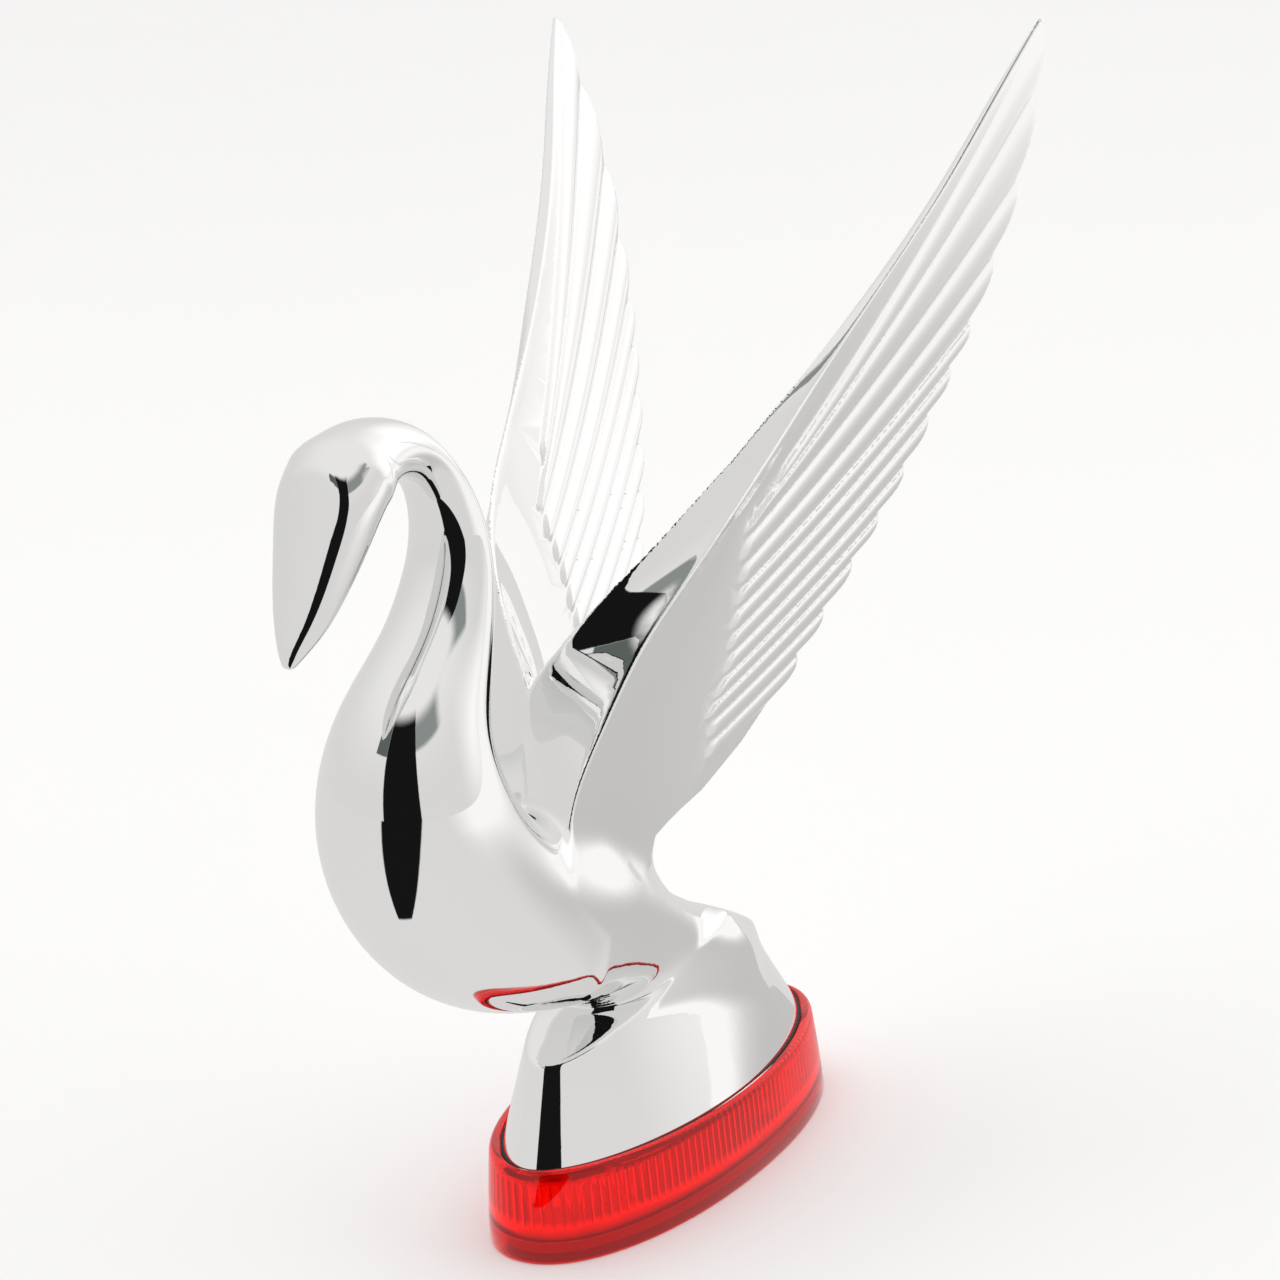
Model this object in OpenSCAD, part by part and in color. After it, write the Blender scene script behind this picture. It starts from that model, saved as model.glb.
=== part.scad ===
// Swan hood ornament on a lit oval lens base.
// Frame: +Z up, the swan faces -Y, the origin is the middle of the base's underside.
// Units: millimetres.

/* [Lens base] */
// Length of the lens over its foot
lens_length = 100; // [80:1:140]
// Width of the lens over its foot
lens_width = 44.4; // [36:0.2:70]
// Height of the lens up to its rim
lens_height = 17.6; // [14:0.1:30]
// How much the lens narrows at each end, foot to rim
lens_taper_end = 2.2; // [0:0.1:6]
// How much the lens narrows at each side, foot to rim
lens_taper_side = 0.9; // [0:0.1:6]
// Wall of the lens
lens_wall = 2.6; // [1.5:0.1:4]
// Power of the lens oval (2 is an ellipse)
lens_power = 2.12; // [1.8:0.02:3]
// Number of light-spreading flutes inside the lens
flute_count = 120; // [40:4:200]
// Depth of one flute
flute_depth = 0.5; // [0.2:0.05:1]
// Lower and upper end of the fluted band
flute_band = [5.6, 14]; // [3:0.1:16]

/* [Pedestal] */
// Half length of the pedestal foot
foot_half_length = 46.1; // [36:0.1:60]
// Half width of the pedestal foot
foot_half_width = 19.8; // [14:0.1:30]
// Power of the foot oval
foot_power = 1.88; // [1.6:0.02:3]
// Height of the pedestal top over the base
pedestal_top = 38; // [28:0.5:60]
// Half width of the pedestal top
pedestal_top_half_width = 13; // [8:0.5:20]
// How far the pedestal top reaches to the front
pedestal_top_front = 38; // [25:0.5:50]
// How far the pedestal top reaches to the back
pedestal_top_back = 34; // [25:0.5:50]
// Wall of the casting round its hollow foot
casting_wall = 2.8; // [1.5:0.1:4]

/* [Swan] */
// Bill, head and neck down into the tail: [Y, Z, radius]
body_line = [
    [-98.0, 131.2, 1.2],
    [-96.6, 133.4, 2.4],
    [-93.2, 137.6, 4.6],
    [-90.0, 142.7, 6.0],
    [-86.7, 147.7, 7.2],
    [-83.5, 152.9, 8.3],
    [-81.0, 156.0, 8.8],
    [-77.5, 158.0, 8.2],
    [-72.7, 159.6, 7.0],
    [-66.6, 159.2, 6.2],
    [-61.0, 157.3, 5.5],
    [-56.7, 154.1, 5.0],
    [-53.3, 149.8, 5.2],
    [-50.8, 143.5, 6.0],
    [-50.7, 136.5, 6.9],
    [-52.4, 131.1, 7.7],
    [-55.2, 125.3, 8.6],
    [-58.4, 120.3, 9.6],
    [-63.0, 114.2, 11.4],
    [-66.9, 108.5, 13.4],
    [-69.2, 101.4, 15.6],
    [-68.9, 93.5, 17.3],
    [-66.0, 85.5, 18.3],
    [-60.0, 77.5, 18.6],
    [-52.0, 71.0, 18.4],
    [-42.0, 65.5, 17.5],
    [-30.0, 60.5, 16.2],
    [-16.0, 54.0, 13.6],
    [-2.0, 46.0, 11.0]
];
// Tail deck behind the wings: [half width, Y, Z, edge radius]
tail_line = [
    [9.4, 18.6, 36.8, 1.6],
    [1.5, 33.0, 34.6, 1.6]
];

/* [Wings] */
// Outward lean of each wing
wing_lean = 14.25; // [0:0.25:30]
// How much each wing opens towards the back
wing_splay = 8.5; // [0:0.25:25]
// Distance of the wing plane from the middle plane
wing_set = -10.4; // [-20:0.1:0]
// Half thickness of the feathered blade
blade_half = 1.0; // [0.6:0.05:2]
// Wing sections: [height, front Y, front depth, ridge Y, ridge depth]
wing_rows = [
    [213.0, 84.0, -0.3, 84.0, 0.3],
    [200.0, 72.8, -0.8, 72.2, 1.0],
    [188.0, 63.5, -0.9, 62.6, 1.2],
    [176.0, 52.0, -1.0, 50.5, 1.4],
    [165.0, 38.9, -1.0, 38.4, 1.6],
    [154.0, 23.8, -0.8, 27.0, 1.9],
    [145.0, 6.5, -1.3, 18.0, 2.6],
    [136.0, -8.0, -1.7, 7.6, 3.3],
    [126.0, -16.5, -4.0, -5.2, 4.2],
    [118.0, -23.0, -7.0, -17.0, 5.0],
    [110.0, -28.0, -9.6, -24.0, 5.6],
    [104.0, -31.2, -12.6, -28.2, 6.0],
    [96.0, -32.8, -11.0, -33.5, 6.4],
    [88.0, -34.0, -9.0, -37.5, 7.0],
    [80.0, -33.0, -7.0, -38.0, 8.5],
    [73.0, -31.0, -5.6, -35.0, 10.0],
    [66.0, -28.0, -4.0, -30.0, 11.0]
];
// Notches between the feathers on the rear edge, from the tip down: [Y, height]
feather_notches = [
    [86.3, 199.4],
    [85.4, 182.0],
    [81.4, 167.3],
    [76.8, 154.8],
    [72.4, 146.2],
    [67.4, 137.4],
    [61.7, 128.2],
    [55.4, 119.6],
    [48.9, 111.6],
    [41.6, 103.0],
    [35.0, 95.2],
    [28.6, 87.4]
];
// How far a feather stands out past its notches
feather_bulge = 1.5; // [0:0.1:4]
// Radius of a raised feather quill
quill_radius = 1.75; // [1:0.05:3]
// Line on which the quills start: [Y, height], upper and lower
quill_start = [[12.6, 131.5], [9.4, 81.3]];
// Rear edge below the feathers: [Y, height]
lower_edge = [
    [21.1, 80.4],
    [10.3, 73.4],
    [-3.5, 68.6],
    [-7.0, 60.0]
];

/* [Mounting] */
// Distance between the two mounting screws
mount_spacing = 52; // [40:1:70]
// Radius of the tapped hole (5 mm tap drill for an M6 screw)
mount_hole_radius = 2.5; // [2:0.05:4]
// Depth of the tapped hole
mount_depth = 15; // [8:0.5:20]
// Outer radius of a threaded insert
insert_radius = 4.5; // [3.5:0.1:6]
// Distance between the two cover screws
cover_screw_spacing = 72; // [60:1:84]

/* [Lamp] */
// Outer radius of the bulb's glass
bulb_radius = 5.1; // [4:0.1:6]
// Height of the bulb's axis over the base
bulb_height = 9.4; // [8:0.1:11]

/* [Hidden] */
fine = 48;
oval_points = 72;
ball_points = 24;
quill_points = 10;
gap = 0.3;
pad_thickness = 1.5;
plate_thickness = 2;
plate_top = pad_thickness + plate_thickness;
sheet = 0.6;
lens_half = [lens_width / 2, lens_length / 2];
rim_half = [lens_half.x - lens_taper_side, lens_half.y - lens_taper_end];
rim_round = 0.9;
lens_bore = [lens_half.x - lens_wall, lens_half.y - lens_wall];
ledge = 1.8;
cavity_half = [lens_bore.x - ledge, lens_bore.y - ledge];
cavity_top = 14.6;
light_opening = [14.2, 41];
gasket_height = 1;
foot_z = lens_height - 0.2;
groove_floor = foot_z - gasket_height;
foot_half = [foot_half_width, foot_half_length];
gasket_half = foot_half + [0.5, 0.5];
groove_half = gasket_half + [0.2, 0.2];
plate_half = [lens_bore.x - gap, lens_bore.y - gap];
top_half_length = (pedestal_top_front + pedestal_top_back) / 2;
top_middle = (pedestal_top_back - pedestal_top_front) / 2;
slab = 0.2;
slice_half = blade_half - 0.25;
tip_limit = 84.8;
root_rear = [-6, 66, 1.75];
boss_radius = 6.6;
cover_boss_radius = 3.8;
cover_screw_radius = 1.45;
cover_head_radius = 2.9;
hole_gap = 0.35;
grommet_at = [11, 8];
earth_at = [-10.5, 8];
earth_hole = 1.6;
grommet_radius = 3;
bracket_y = 12;
holder_radius = 4.9;
holder_ends = [7.2, 18.2];
rivet_radius = 1.1;
bracket_rivet = [5, 15.5];
rivet_spots = [
    [-bracket_rivet.x, bracket_rivet.y],
    bracket_rivet,
    earth_at + [0, earth_hole]
];
chrome = [0.86, 0.87, 0.88];
steel = [0.62, 0.63, 0.65];
brass = [0.78, 0.62, 0.30];
ruby = [0.75, 0.03, 0.02, 0.8];
black = [0.05, 0.05, 0.055];

// ---------- outlines ----------

function signed_power(x, p) = sign(x) * pow(abs(x), p);

function oval(half, power, middle = 0) = [
    for (i = [0 : oval_points - 1])
        let (turn = 360 * i / oval_points)
        [
            half.x * signed_power(sin(turn), 2 / power),
            middle - half.y * signed_power(cos(turn), 2 / power)
        ]
];

function fluted(half, power) = [
    for (i = [0 : 2 * flute_count - 1])
        let (turn = 180 * i / flute_count)
        let (cut = i % 2 == 0 ? 0 : flute_depth)
        [
            (half.x - cut) * signed_power(sin(turn), 2 / power),
            -(half.y - cut) * signed_power(cos(turn), 2 / power)
        ]
];

module oval_slab(half, power, low, high, middle = 0) {
    translate([0, 0, low])
        linear_extrude(high - low)
            polygon(oval(half, power, middle));
}

module pair_at(spacing) {
    for (side = [-1, 1])
        translate([0, side * spacing / 2, 0])
            children();
}

module both_sides() {
    children();
    mirror([1, 0, 0])
        children();
}

// ---------- the swan casting ----------

module ball_at(row) {
    translate([0, row[0], row[1]])
        sphere(row[2], $fn = ball_points);
}

module swan_body() {
    for (i = [0 : len(body_line) - 2])
        hull() {
            ball_at(body_line[i]);
            ball_at(body_line[i + 1]);
        }
}

module tail_corner(row, side) {
    translate([side * row[0], row[1], row[2]])
        sphere(row[3], $fn = ball_points);
}

module tail() {
    hull() {
        ball_at(body_line[len(body_line) - 1]);
        for (row = tail_line, side = [-1, 1])
            tail_corner(row, side);
        oval_slab(
            [pedestal_top_half_width - 0.3, top_half_length - 0.3],
            foot_power,
            pedestal_top - 2.5,
            pedestal_top - 2.5 + slab,
            top_middle);
    }
}

module shoulder_slab(inset, drop) {
    oval_slab(
        [pedestal_top_half_width + 1.2 - inset, top_half_length - inset],
        foot_power,
        pedestal_top - 4 - drop,
        pedestal_top - 4 - drop + slab,
        top_middle);
}

module neck_slab(inset) {
    front = pedestal_top_front - inset;
    oval_slab(
        [pedestal_top_half_width - 1 - inset, (front + 12 - inset) / 2],
        foot_power,
        pedestal_top - slab - inset,
        pedestal_top - inset,
        (12 - inset - front) / 2);
}

module pedestal() {
    hull() {
        oval_slab(foot_half, foot_power, foot_z, foot_z + slab);
        shoulder_slab(0, 0);
    }
    hull() {
        shoulder_slab(0.5, 0.7);
        neck_slab(0);
    }
    for (i = [len(body_line) - 4 : len(body_line) - 2])
        hull() {
            ball_at(body_line[i]);
            neck_slab(0.35 * (len(body_line) - i));
        }
}

module wing_frame() {
    rotate([0, 0, -wing_splay])
        rotate([0, wing_lean, 0])
            translate([wing_set, 0, 0])
                children();
}

function slice_rear(row) = min(
    max(row[3] + 14, min(11, row[3] + 46)),
    row[0] > 190 ? tip_limit : root_rear[0] + (row[0] - root_rear[1]) * root_rear[2]);

module wing_slice(row) {
    rear = slice_rear(row);
    translate([0, 0, row[0]])
        linear_extrude(0.1)
            polygon([
                [row[2], row[1]],
                [row[4], row[3]],
                [slice_half, rear],
                [-slice_half, rear]
            ]);
}

module wing_root() {
    for (i = [0 : len(wing_rows) - 2])
        hull() {
            wing_slice(wing_rows[i]);
            wing_slice(wing_rows[i + 1]);
        }
}

function rear_edge() = [
    for (i = [0 : len(feather_notches) - 2], part = [0 : 3])
        let (a = feather_notches[i])
        let (b = feather_notches[i + 1])
        let (along = (b - a) / norm(b - a))
        a + (b - a) * part / 4 + [-along.y, along.x] * feather_bulge * sin(45 * part)
];

function front_edge() = [
    for (i = [len(wing_rows) - 5 : -1 : 0])
        [wing_rows[i][1] + 0.6, wing_rows[i][0]]
];

module wing_blade() {
    tip = [[85.8, 213.4]];
    rotate([90, 0, 90])
        linear_extrude(2 * blade_half, center = true)
            polygon(concat(front_edge(), tip, rear_edge(), lower_edge));
}

module quills() {
    count = len(feather_notches) - 1;
    for (i = [0 : count - 1]) {
        drop = i / (count - 1);
        start = quill_start[0] * (1 - drop) + quill_start[1] * drop;
        end = (feather_notches[i] + feather_notches[i + 1]) / 2;
        shift = i == 0 ? 0.55 : 0;
        from = start * (1 - shift) + end * shift;
        hull() {
            translate([0, from.x, from.y])
                sphere(quill_radius, $fn = quill_points);
            translate([0, end.x - 0.8, end.y])
                sphere(quill_radius * 0.8, $fn = quill_points);
        }
    }
}

module wing() {
    wing_frame() {
        wing_root();
        wing_blade();
        quills();
    }
}

module keel() {
    hull() {
        ball_at([-24.5, 98, 7]);
        ball_at([-12, 66, 6]);
    }
    hull() {
        ball_at([-24.5, 98, 7]);
        ball_at([-26, 66, 8]);
    }
}

module foot_hollow() {
    inner_foot = foot_half - [casting_wall, casting_wall];
    inner_top = [
        pedestal_top_half_width - casting_wall,
        top_half_length - casting_wall - 2
    ];
    hull() {
        oval_slab(inner_foot, foot_power, foot_z - 1, foot_z + slab);
        oval_slab(
            inner_top,
            foot_power,
            pedestal_top - 5,
            pedestal_top - 5 + slab,
            top_middle);
    }
}

module casting_bosses() {
    pair_at(mount_spacing)
        translate([0, 0, plate_top])
            cylinder(h = pedestal_top - plate_top - 3, r = boss_radius, $fn = fine);
    for (side = [-1, 1])
        translate([0, side * cover_screw_spacing / 2, plate_top]) {
            cylinder(h = 24 - plate_top, r = cover_boss_radius, $fn = fine);
            translate([-2, side > 0 ? 0 : -6.4, foot_z + 0.4 - plate_top])
                cube([4, 6.4, 6]);
        }
}

module casting_holes() {
    pair_at(mount_spacing)
        translate([0, 0, -1])
            cylinder(h = mount_depth + 4, r = insert_radius + 0.02, $fn = fine);
    pair_at(cover_screw_spacing)
        translate([0, 0, -1])
            cylinder(h = 17, r = cover_screw_radius + 0.05, $fn = fine);
}

module swan_casting() {
    color(chrome)
        difference() {
            union() {
                difference() {
                    union() {
                        swan_body();
                        pedestal();
                        tail();
                        keel();
                        both_sides()
                            wing();
                    }
                    foot_hollow();
                }
                casting_bosses();
            }
            casting_holes();
        }
}

// ---------- the lit base ----------

module lens_outside() {
    hull() {
        oval_slab(lens_half - [0.4, 0.4], lens_power, 0, slab);
        oval_slab(lens_half, lens_power, 0.6, 0.6 + slab);
        oval_slab(rim_half, lens_power, lens_height - rim_round - slab, lens_height - rim_round);
        oval_slab(
            rim_half - [rim_round, rim_round] * 0.3,
            lens_power,
            lens_height - rim_round * 0.35 - slab,
            lens_height - rim_round * 0.35);
        oval_slab(
            rim_half - [rim_round, rim_round],
            lens_power,
            lens_height - slab,
            lens_height);
    }
}

module lens() {
    color(ruby)
        difference() {
            lens_outside();
            oval_slab(lens_bore, lens_power, -1, plate_top);
            oval_slab(cavity_half, lens_power, plate_top - 1, flute_band[0]);
            translate([0, 0, flute_band[0] - 0.01])
                linear_extrude(flute_band[1] - flute_band[0])
                    polygon(fluted(cavity_half, lens_power));
            oval_slab(
                cavity_half - [flute_depth, flute_depth],
                lens_power,
                flute_band[1] - 0.5,
                cavity_top);
            oval_slab(light_opening, lens_power, cavity_top - 1, lens_height + 1);
            oval_slab(groove_half, foot_power, groove_floor, lens_height + 1);
        }
}

module lens_gasket() {
    color(black)
        difference() {
            oval_slab(gasket_half, foot_power, groove_floor, foot_z);
            oval_slab(light_opening, lens_power, groove_floor - 1, foot_z + 1);
        }
}

module mounting_cuts(radius) {
    pair_at(mount_spacing)
        translate([0, 0, -1])
            cylinder(h = plate_top + 3, r = radius, $fn = fine);
}

module base_plate() {
    color(steel)
        difference() {
            oval_slab(plate_half, lens_power, pad_thickness, plate_top);
            mounting_cuts(insert_radius + hole_gap);
            pair_at(cover_screw_spacing)
                cylinder(h = plate_top + 1, r = cover_screw_radius + hole_gap, $fn = fine);
            translate([grommet_at.x, grommet_at.y, 0])
                cylinder(h = plate_top + 1, r = grommet_radius, $fn = fine);
            for (at = rivet_spots)
                translate([at.x, at.y, 0])
                    cylinder(h = plate_top + 1, r = rivet_radius, $fn = fine);
        }
}

module base_pad() {
    color(black)
        difference() {
            oval_slab(plate_half, lens_power, 0, pad_thickness);
            mounting_cuts(insert_radius + hole_gap);
            pair_at(cover_screw_spacing)
                translate([0, 0, -1])
                    cylinder(h = plate_top, r = cover_head_radius + hole_gap, $fn = fine);
            translate([grommet_at.x, grommet_at.y, -1])
                cylinder(h = plate_top, r = grommet_radius + 2, $fn = fine);
            for (at = rivet_spots)
                translate([at.x, at.y, -1])
                    cylinder(h = plate_top, r = rivet_radius + 1.2, $fn = fine);
        }
}

module insert() {
    color(brass)
        difference() {
            translate([0, 0, 0.3])
                cylinder(h = mount_depth + 2, r = insert_radius, $fn = fine);
            translate([0, 0, -0.7])
                cylinder(h = mount_depth + 1, r = mount_hole_radius, $fn = fine);
        }
}

module front_insert() {
    translate([0, -mount_spacing / 2, 0])
        insert();
}

module rear_insert() {
    translate([0, mount_spacing / 2, 0])
        insert();
}

module cover_screws() {
    color(steel)
        pair_at(cover_screw_spacing)
            difference() {
                union() {
                    translate([0, 0, 0.3])
                        cylinder(h = pad_thickness - 0.3, r = cover_head_radius, $fn = fine);
                    cylinder(h = 15, r = cover_screw_radius, $fn = fine);
                }
                for (turn = [0, 90])
                    rotate([0, 0, turn])
                        translate([-1.7, -0.3, -1])
                            cube([3.4, 0.6, 1.8]);
            }
}

module reflector() {
    color([0.93, 0.93, 0.92])
        difference() {
            oval_slab([cavity_half.x - 1.5, 33], lens_power, plate_top, plate_top + sheet);
            pair_at(mount_spacing)
                cylinder(h = plate_top + 2, r = boss_radius + hole_gap, $fn = fine);
            translate([grommet_at.x, grommet_at.y, 0])
                cylinder(h = plate_top + 2, r = grommet_radius + 1.9, $fn = fine);
            translate([earth_at.x - 3.6, earth_at.y - 5.4, 0])
                cube([7.2, 10.8, plate_top + 2]);
            for (side = [-1, 1])
                translate([side * bracket_rivet.x, bracket_rivet.y, 0])
                    cylinder(h = plate_top + 2, r = rivet_radius, $fn = fine);
        }
}

module lamp_bracket() {
    low = plate_top + sheet;
    color(steel)
        difference() {
            union() {
                translate([-7.5, bracket_y, low])
                    cube([15, 6.8, 0.9]);
                translate([-7.5, bracket_y, low])
                    cube([15, 0.9, 11]);
            }
            translate([0, bracket_y - 1, bulb_height])
                rotate([-90, 0, 0])
                    cylinder(h = 3, r = holder_radius + 0.02, $fn = fine);
            for (side = [-1, 1])
                translate([side * bracket_rivet.x, bracket_rivet.y, 0])
                    cylinder(h = low + 2, r = rivet_radius, $fn = fine);
        }
}

module rivet(head_top) {
    translate([0, 0, pad_thickness - 0.6])
        cylinder(h = 0.6, r = rivet_radius + 0.9, $fn = fine);
    translate([0, 0, pad_thickness])
        cylinder(h = head_top - pad_thickness, r = rivet_radius, $fn = fine);
    translate([0, 0, head_top])
        cylinder(h = 0.7, r = rivet_radius + 0.8, $fn = fine);
}

module bracket_rivets() {
    color(steel)
        for (side = [-1, 1])
            translate([side * bracket_rivet.x, bracket_rivet.y, 0])
                rivet(plate_top + sheet + 0.9);
}

module along_bulb() {
    translate([0, 0, bulb_height])
        rotate([-90, 0, 0])
            children();
}

module bulb_holder() {
    color(black)
        difference() {
            along_bulb() {
                translate([0, 0, holder_ends[0]])
                    cylinder(h = holder_ends[1] - holder_ends[0], r = holder_radius, $fn = fine);
            }
            translate([-4.3, holder_ends[0] - 1, bulb_height - 1.8])
                cube([8.6, 9, 3.6]);
            for (x = [-2.2, 2.2])
                translate([x, 0, bulb_height])
                    rotate([-90, 0, 0])
                        cylinder(h = 25, r = 0.9, $fn = fine);
        }
}

module holder_contact(side) {
    color(brass)
        translate([-2.4, holder_ends[0] + 0.2, bulb_height + side * 1.55 - 0.2])
            cube([4.8, 7.6, 0.4]);
}

module holder_contact_upper() {
    holder_contact(1);
}

module holder_contact_lower() {
    holder_contact(-1);
}

module bulb_profile(inset) {
    straight = 1.5;
    r = bulb_radius - inset;
    translate([0, 0, -9])
        sphere(r, $fn = fine);
    translate([0, 0, -9])
        cylinder(h = 9 + straight, r = r, $fn = fine);
    translate([0, 0, straight])
        cylinder(h = 3.2 - inset, r1 = r, r2 = 3.7 - inset, $fn = fine);
}

module bulb_glass() {
    color([0.95, 0.97, 1, 0.35])
        difference() {
            union() {
                along_bulb()
                    bulb_profile(0);
                translate([-4.1, 3.6, bulb_height - 1.1])
                    cube([8.2, 10.8, 2.2]);
            }
            along_bulb()
                bulb_profile(0.6);
        }
}

module bulb_leads() {
    color(steel) {
        for (side = [-1, 1]) {
            translate([side * 1.8, -6, bulb_height])
                rotate([-90, 0, 0])
                    cylinder(h = 10, r = 0.25, $fn = 24);
            translate([side * 2.5, 6, bulb_height + side * 1.22])
                rotate([-90, 0, 0])
                    cylinder(h = 8, r = 0.12, $fn = 24);
        }
    }
}

module bulb_filament() {
    color([0.45, 0.45, 0.47])
        translate([-1.5, -6, bulb_height])
            rotate([0, 90, 0])
                cylinder(h = 3, r = 0.4, $fn = 24);
}

module wire_grommet() {
    color(black)
        translate([grommet_at.x, grommet_at.y, 0])
            difference() {
                union() {
                    translate([0, 0, pad_thickness - 1])
                        cylinder(h = 1, r = grommet_radius + 1.6, $fn = fine);
                    translate([0, 0, pad_thickness])
                        cylinder(h = plate_thickness, r = grommet_radius, $fn = fine);
                    translate([0, 0, plate_top])
                        cylinder(h = 1.2, r = grommet_radius + 1.6, $fn = fine);
                }
                translate([0, 0, -1])
                    cylinder(h = plate_top + 4, r = 1.6, $fn = fine);
            }
}

module earth_tab() {
    color(brass)
        translate([earth_at.x, earth_at.y, plate_top])
            difference() {
                union() {
                    translate([-3.15, -3, 0])
                        cube([6.3, 8, 0.8]);
                    translate([-3.15, -3, 0])
                        cube([6.3, 0.8, 8.5]);
                }
                translate([0, earth_hole, -1])
                    cylinder(h = 3, r = rivet_radius, $fn = fine);
                translate([0, -4, 5.6])
                    rotate([-90, 0, 0])
                        cylinder(h = 3, r = 0.9, $fn = fine);
            }
}

module earth_rivet() {
    color(steel)
        translate([earth_at.x, earth_at.y + earth_hole, 0])
            rivet(plate_top + 0.8);
}

swan_casting();
lens();
lens_gasket();
base_plate();
base_pad();
front_insert();
rear_insert();
cover_screws();
reflector();
lamp_bracket();
bracket_rivets();
bulb_holder();
holder_contact_upper();
holder_contact_lower();
bulb_glass();
bulb_leads();
bulb_filament();
wire_grommet();
earth_tab();
earth_rivet();
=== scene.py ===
"""Swan hood ornament: the looks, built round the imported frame. Lengths in the tables are millimetres."""
import math

import bmesh
import bpy
import numpy as np
from mathutils import Matrix, Vector


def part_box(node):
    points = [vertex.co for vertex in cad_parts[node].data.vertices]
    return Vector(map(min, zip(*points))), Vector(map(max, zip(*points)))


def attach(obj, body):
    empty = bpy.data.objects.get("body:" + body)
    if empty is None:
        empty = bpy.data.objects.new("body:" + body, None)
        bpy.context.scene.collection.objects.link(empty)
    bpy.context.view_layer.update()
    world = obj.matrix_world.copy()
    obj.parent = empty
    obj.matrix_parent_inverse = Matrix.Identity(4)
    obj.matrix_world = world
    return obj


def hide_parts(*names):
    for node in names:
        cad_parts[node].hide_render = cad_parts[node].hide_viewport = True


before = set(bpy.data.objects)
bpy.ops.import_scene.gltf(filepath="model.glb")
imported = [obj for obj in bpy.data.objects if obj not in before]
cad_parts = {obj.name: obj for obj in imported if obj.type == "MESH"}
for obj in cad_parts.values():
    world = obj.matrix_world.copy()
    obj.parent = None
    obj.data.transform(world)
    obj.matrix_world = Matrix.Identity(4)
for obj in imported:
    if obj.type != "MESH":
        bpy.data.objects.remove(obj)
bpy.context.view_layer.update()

bl_info = {
    "name": "Swan hood ornament",
    "version": (1, 0, 0),
    "blender": (4, 5, 0),
    "location": "3D View > Sidebar > Swan ornament",
    "description": "Builds a chromed swan hood ornament on a lit red lens base",
    "category": "Add Mesh",
}

MM = 0.001

# ---------- sizes shared by the pieces, in millimetres ----------

# bill, head and neck down into the tail: Y, Z, radius, sideways widening
BODY_LINE = (
    (-98.0, 131.2, 1.1, 1.3), (-96.6, 133.4, 2.3, 1.2), (-93.2, 137.6, 4.2, 1.25),
    (-90.0, 142.7, 5.3, 1.3), (-86.7, 147.7, 6.3, 1.32), (-83.8, 152.9, 7.1, 1.34),
    (-81.2, 156.0, 7.6, 1.3), (-77.5, 158.0, 7.4, 1.22), (-72.7, 159.6, 6.3, 1.24),
    (-66.6, 159.2, 5.3, 1.32), (-61.0, 157.3, 4.5, 1.38), (-56.7, 154.1, 4.1, 1.42),
    (-53.3, 149.8, 4.3, 1.42), (-50.8, 143.5, 5.0, 1.4), (-50.7, 136.5, 5.8, 1.38),
    (-52.4, 131.1, 6.6, 1.34), (-55.2, 125.3, 7.6, 1.28), (-58.4, 120.3, 8.8, 1.2),
    (-63.0, 114.2, 10.9, 1.1), (-66.9, 108.5, 13.2, 1.03), (-69.2, 101.4, 15.6, 1.0),
    (-68.9, 93.5, 17.3, 1.0), (-66.0, 85.5, 18.3, 1.0), (-60.0, 77.5, 18.6, 1.0),
    (-52.0, 71.0, 18.4, 1.0), (-42.0, 65.5, 17.5, 1.0), (-30.0, 60.5, 16.2, 1.0),
    (-16.0, 54.0, 13.6, 1.0), (-2.0, 46.0, 11.0, 1.1), (10.0, 40.5, 8.2, 1.35),
    (20.0, 36.5, 5.5, 1.9), (28.0, 35.2, 3.6, 1.6), (32.0, 34.6, 2.6, 1.0),
)
# the brow over the bill, a bar cut off by the bill's flat face: Y, Z, radius
BROW_BAR = ((-79.5, 157.4, 7.2), (-86.9, 152.6, 5.0))
BROW_WIDEN = 1.35
# the bill's face: a point on its axis (Y, Z), the axis's direction, half depth there and its growth
BILL_FACE = ((-93.2, 137.6), (0.536, 0.845), 3.45, 0.153)
BILL_WIDEN = 1.9
# crown of the tail deck on the middle plane: Y, Z
DECK_LINE = ((-14.0, 90.0), (-9.0, 66.0), (-2.8, 57.4), (16.1, 47.0), (28.7, 40.2), (36.0, 35.6))
WING_LEAN, WING_SPLAY, WING_SET = 14.25, 8.5, -10.4
# wing sections: height, inner crease Y and depth, outer crease Y and depth
WING_ROWS = (
    (213.0, 84.0, -0.3, 84.0, 0.3), (200.0, 72.8, -0.8, 72.2, 1.0), (188.0, 63.5, -0.9, 62.6, 1.2),
    (176.0, 52.0, -1.0, 50.5, 1.4), (165.0, 38.9, -1.0, 38.4, 1.6), (154.0, 23.8, -0.8, 27.0, 1.9),
    (145.0, 6.5, -1.3, 18.0, 2.6), (136.0, -8.0, -1.7, 7.6, 3.3), (126.0, -16.5, -4.0, -5.2, 4.2),
    (118.0, -23.0, -7.0, -17.0, 5.0), (110.0, -28.0, -9.6, -24.0, 5.6), (104.0, -31.2, -11.8, -28.2, 6.0),
    (96.0, -32.8, -10.4, -33.5, 6.4), (88.0, -34.0, -8.6, -37.5, 7.0), (80.0, -33.0, -6.8, -38.0, 8.5),
    (73.0, -31.0, -5.4, -35.0, 10.0), (66.0, -28.0, -4.0, -30.0, 11.0),
)
WING_TIP = (85.8, 213.4)
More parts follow.
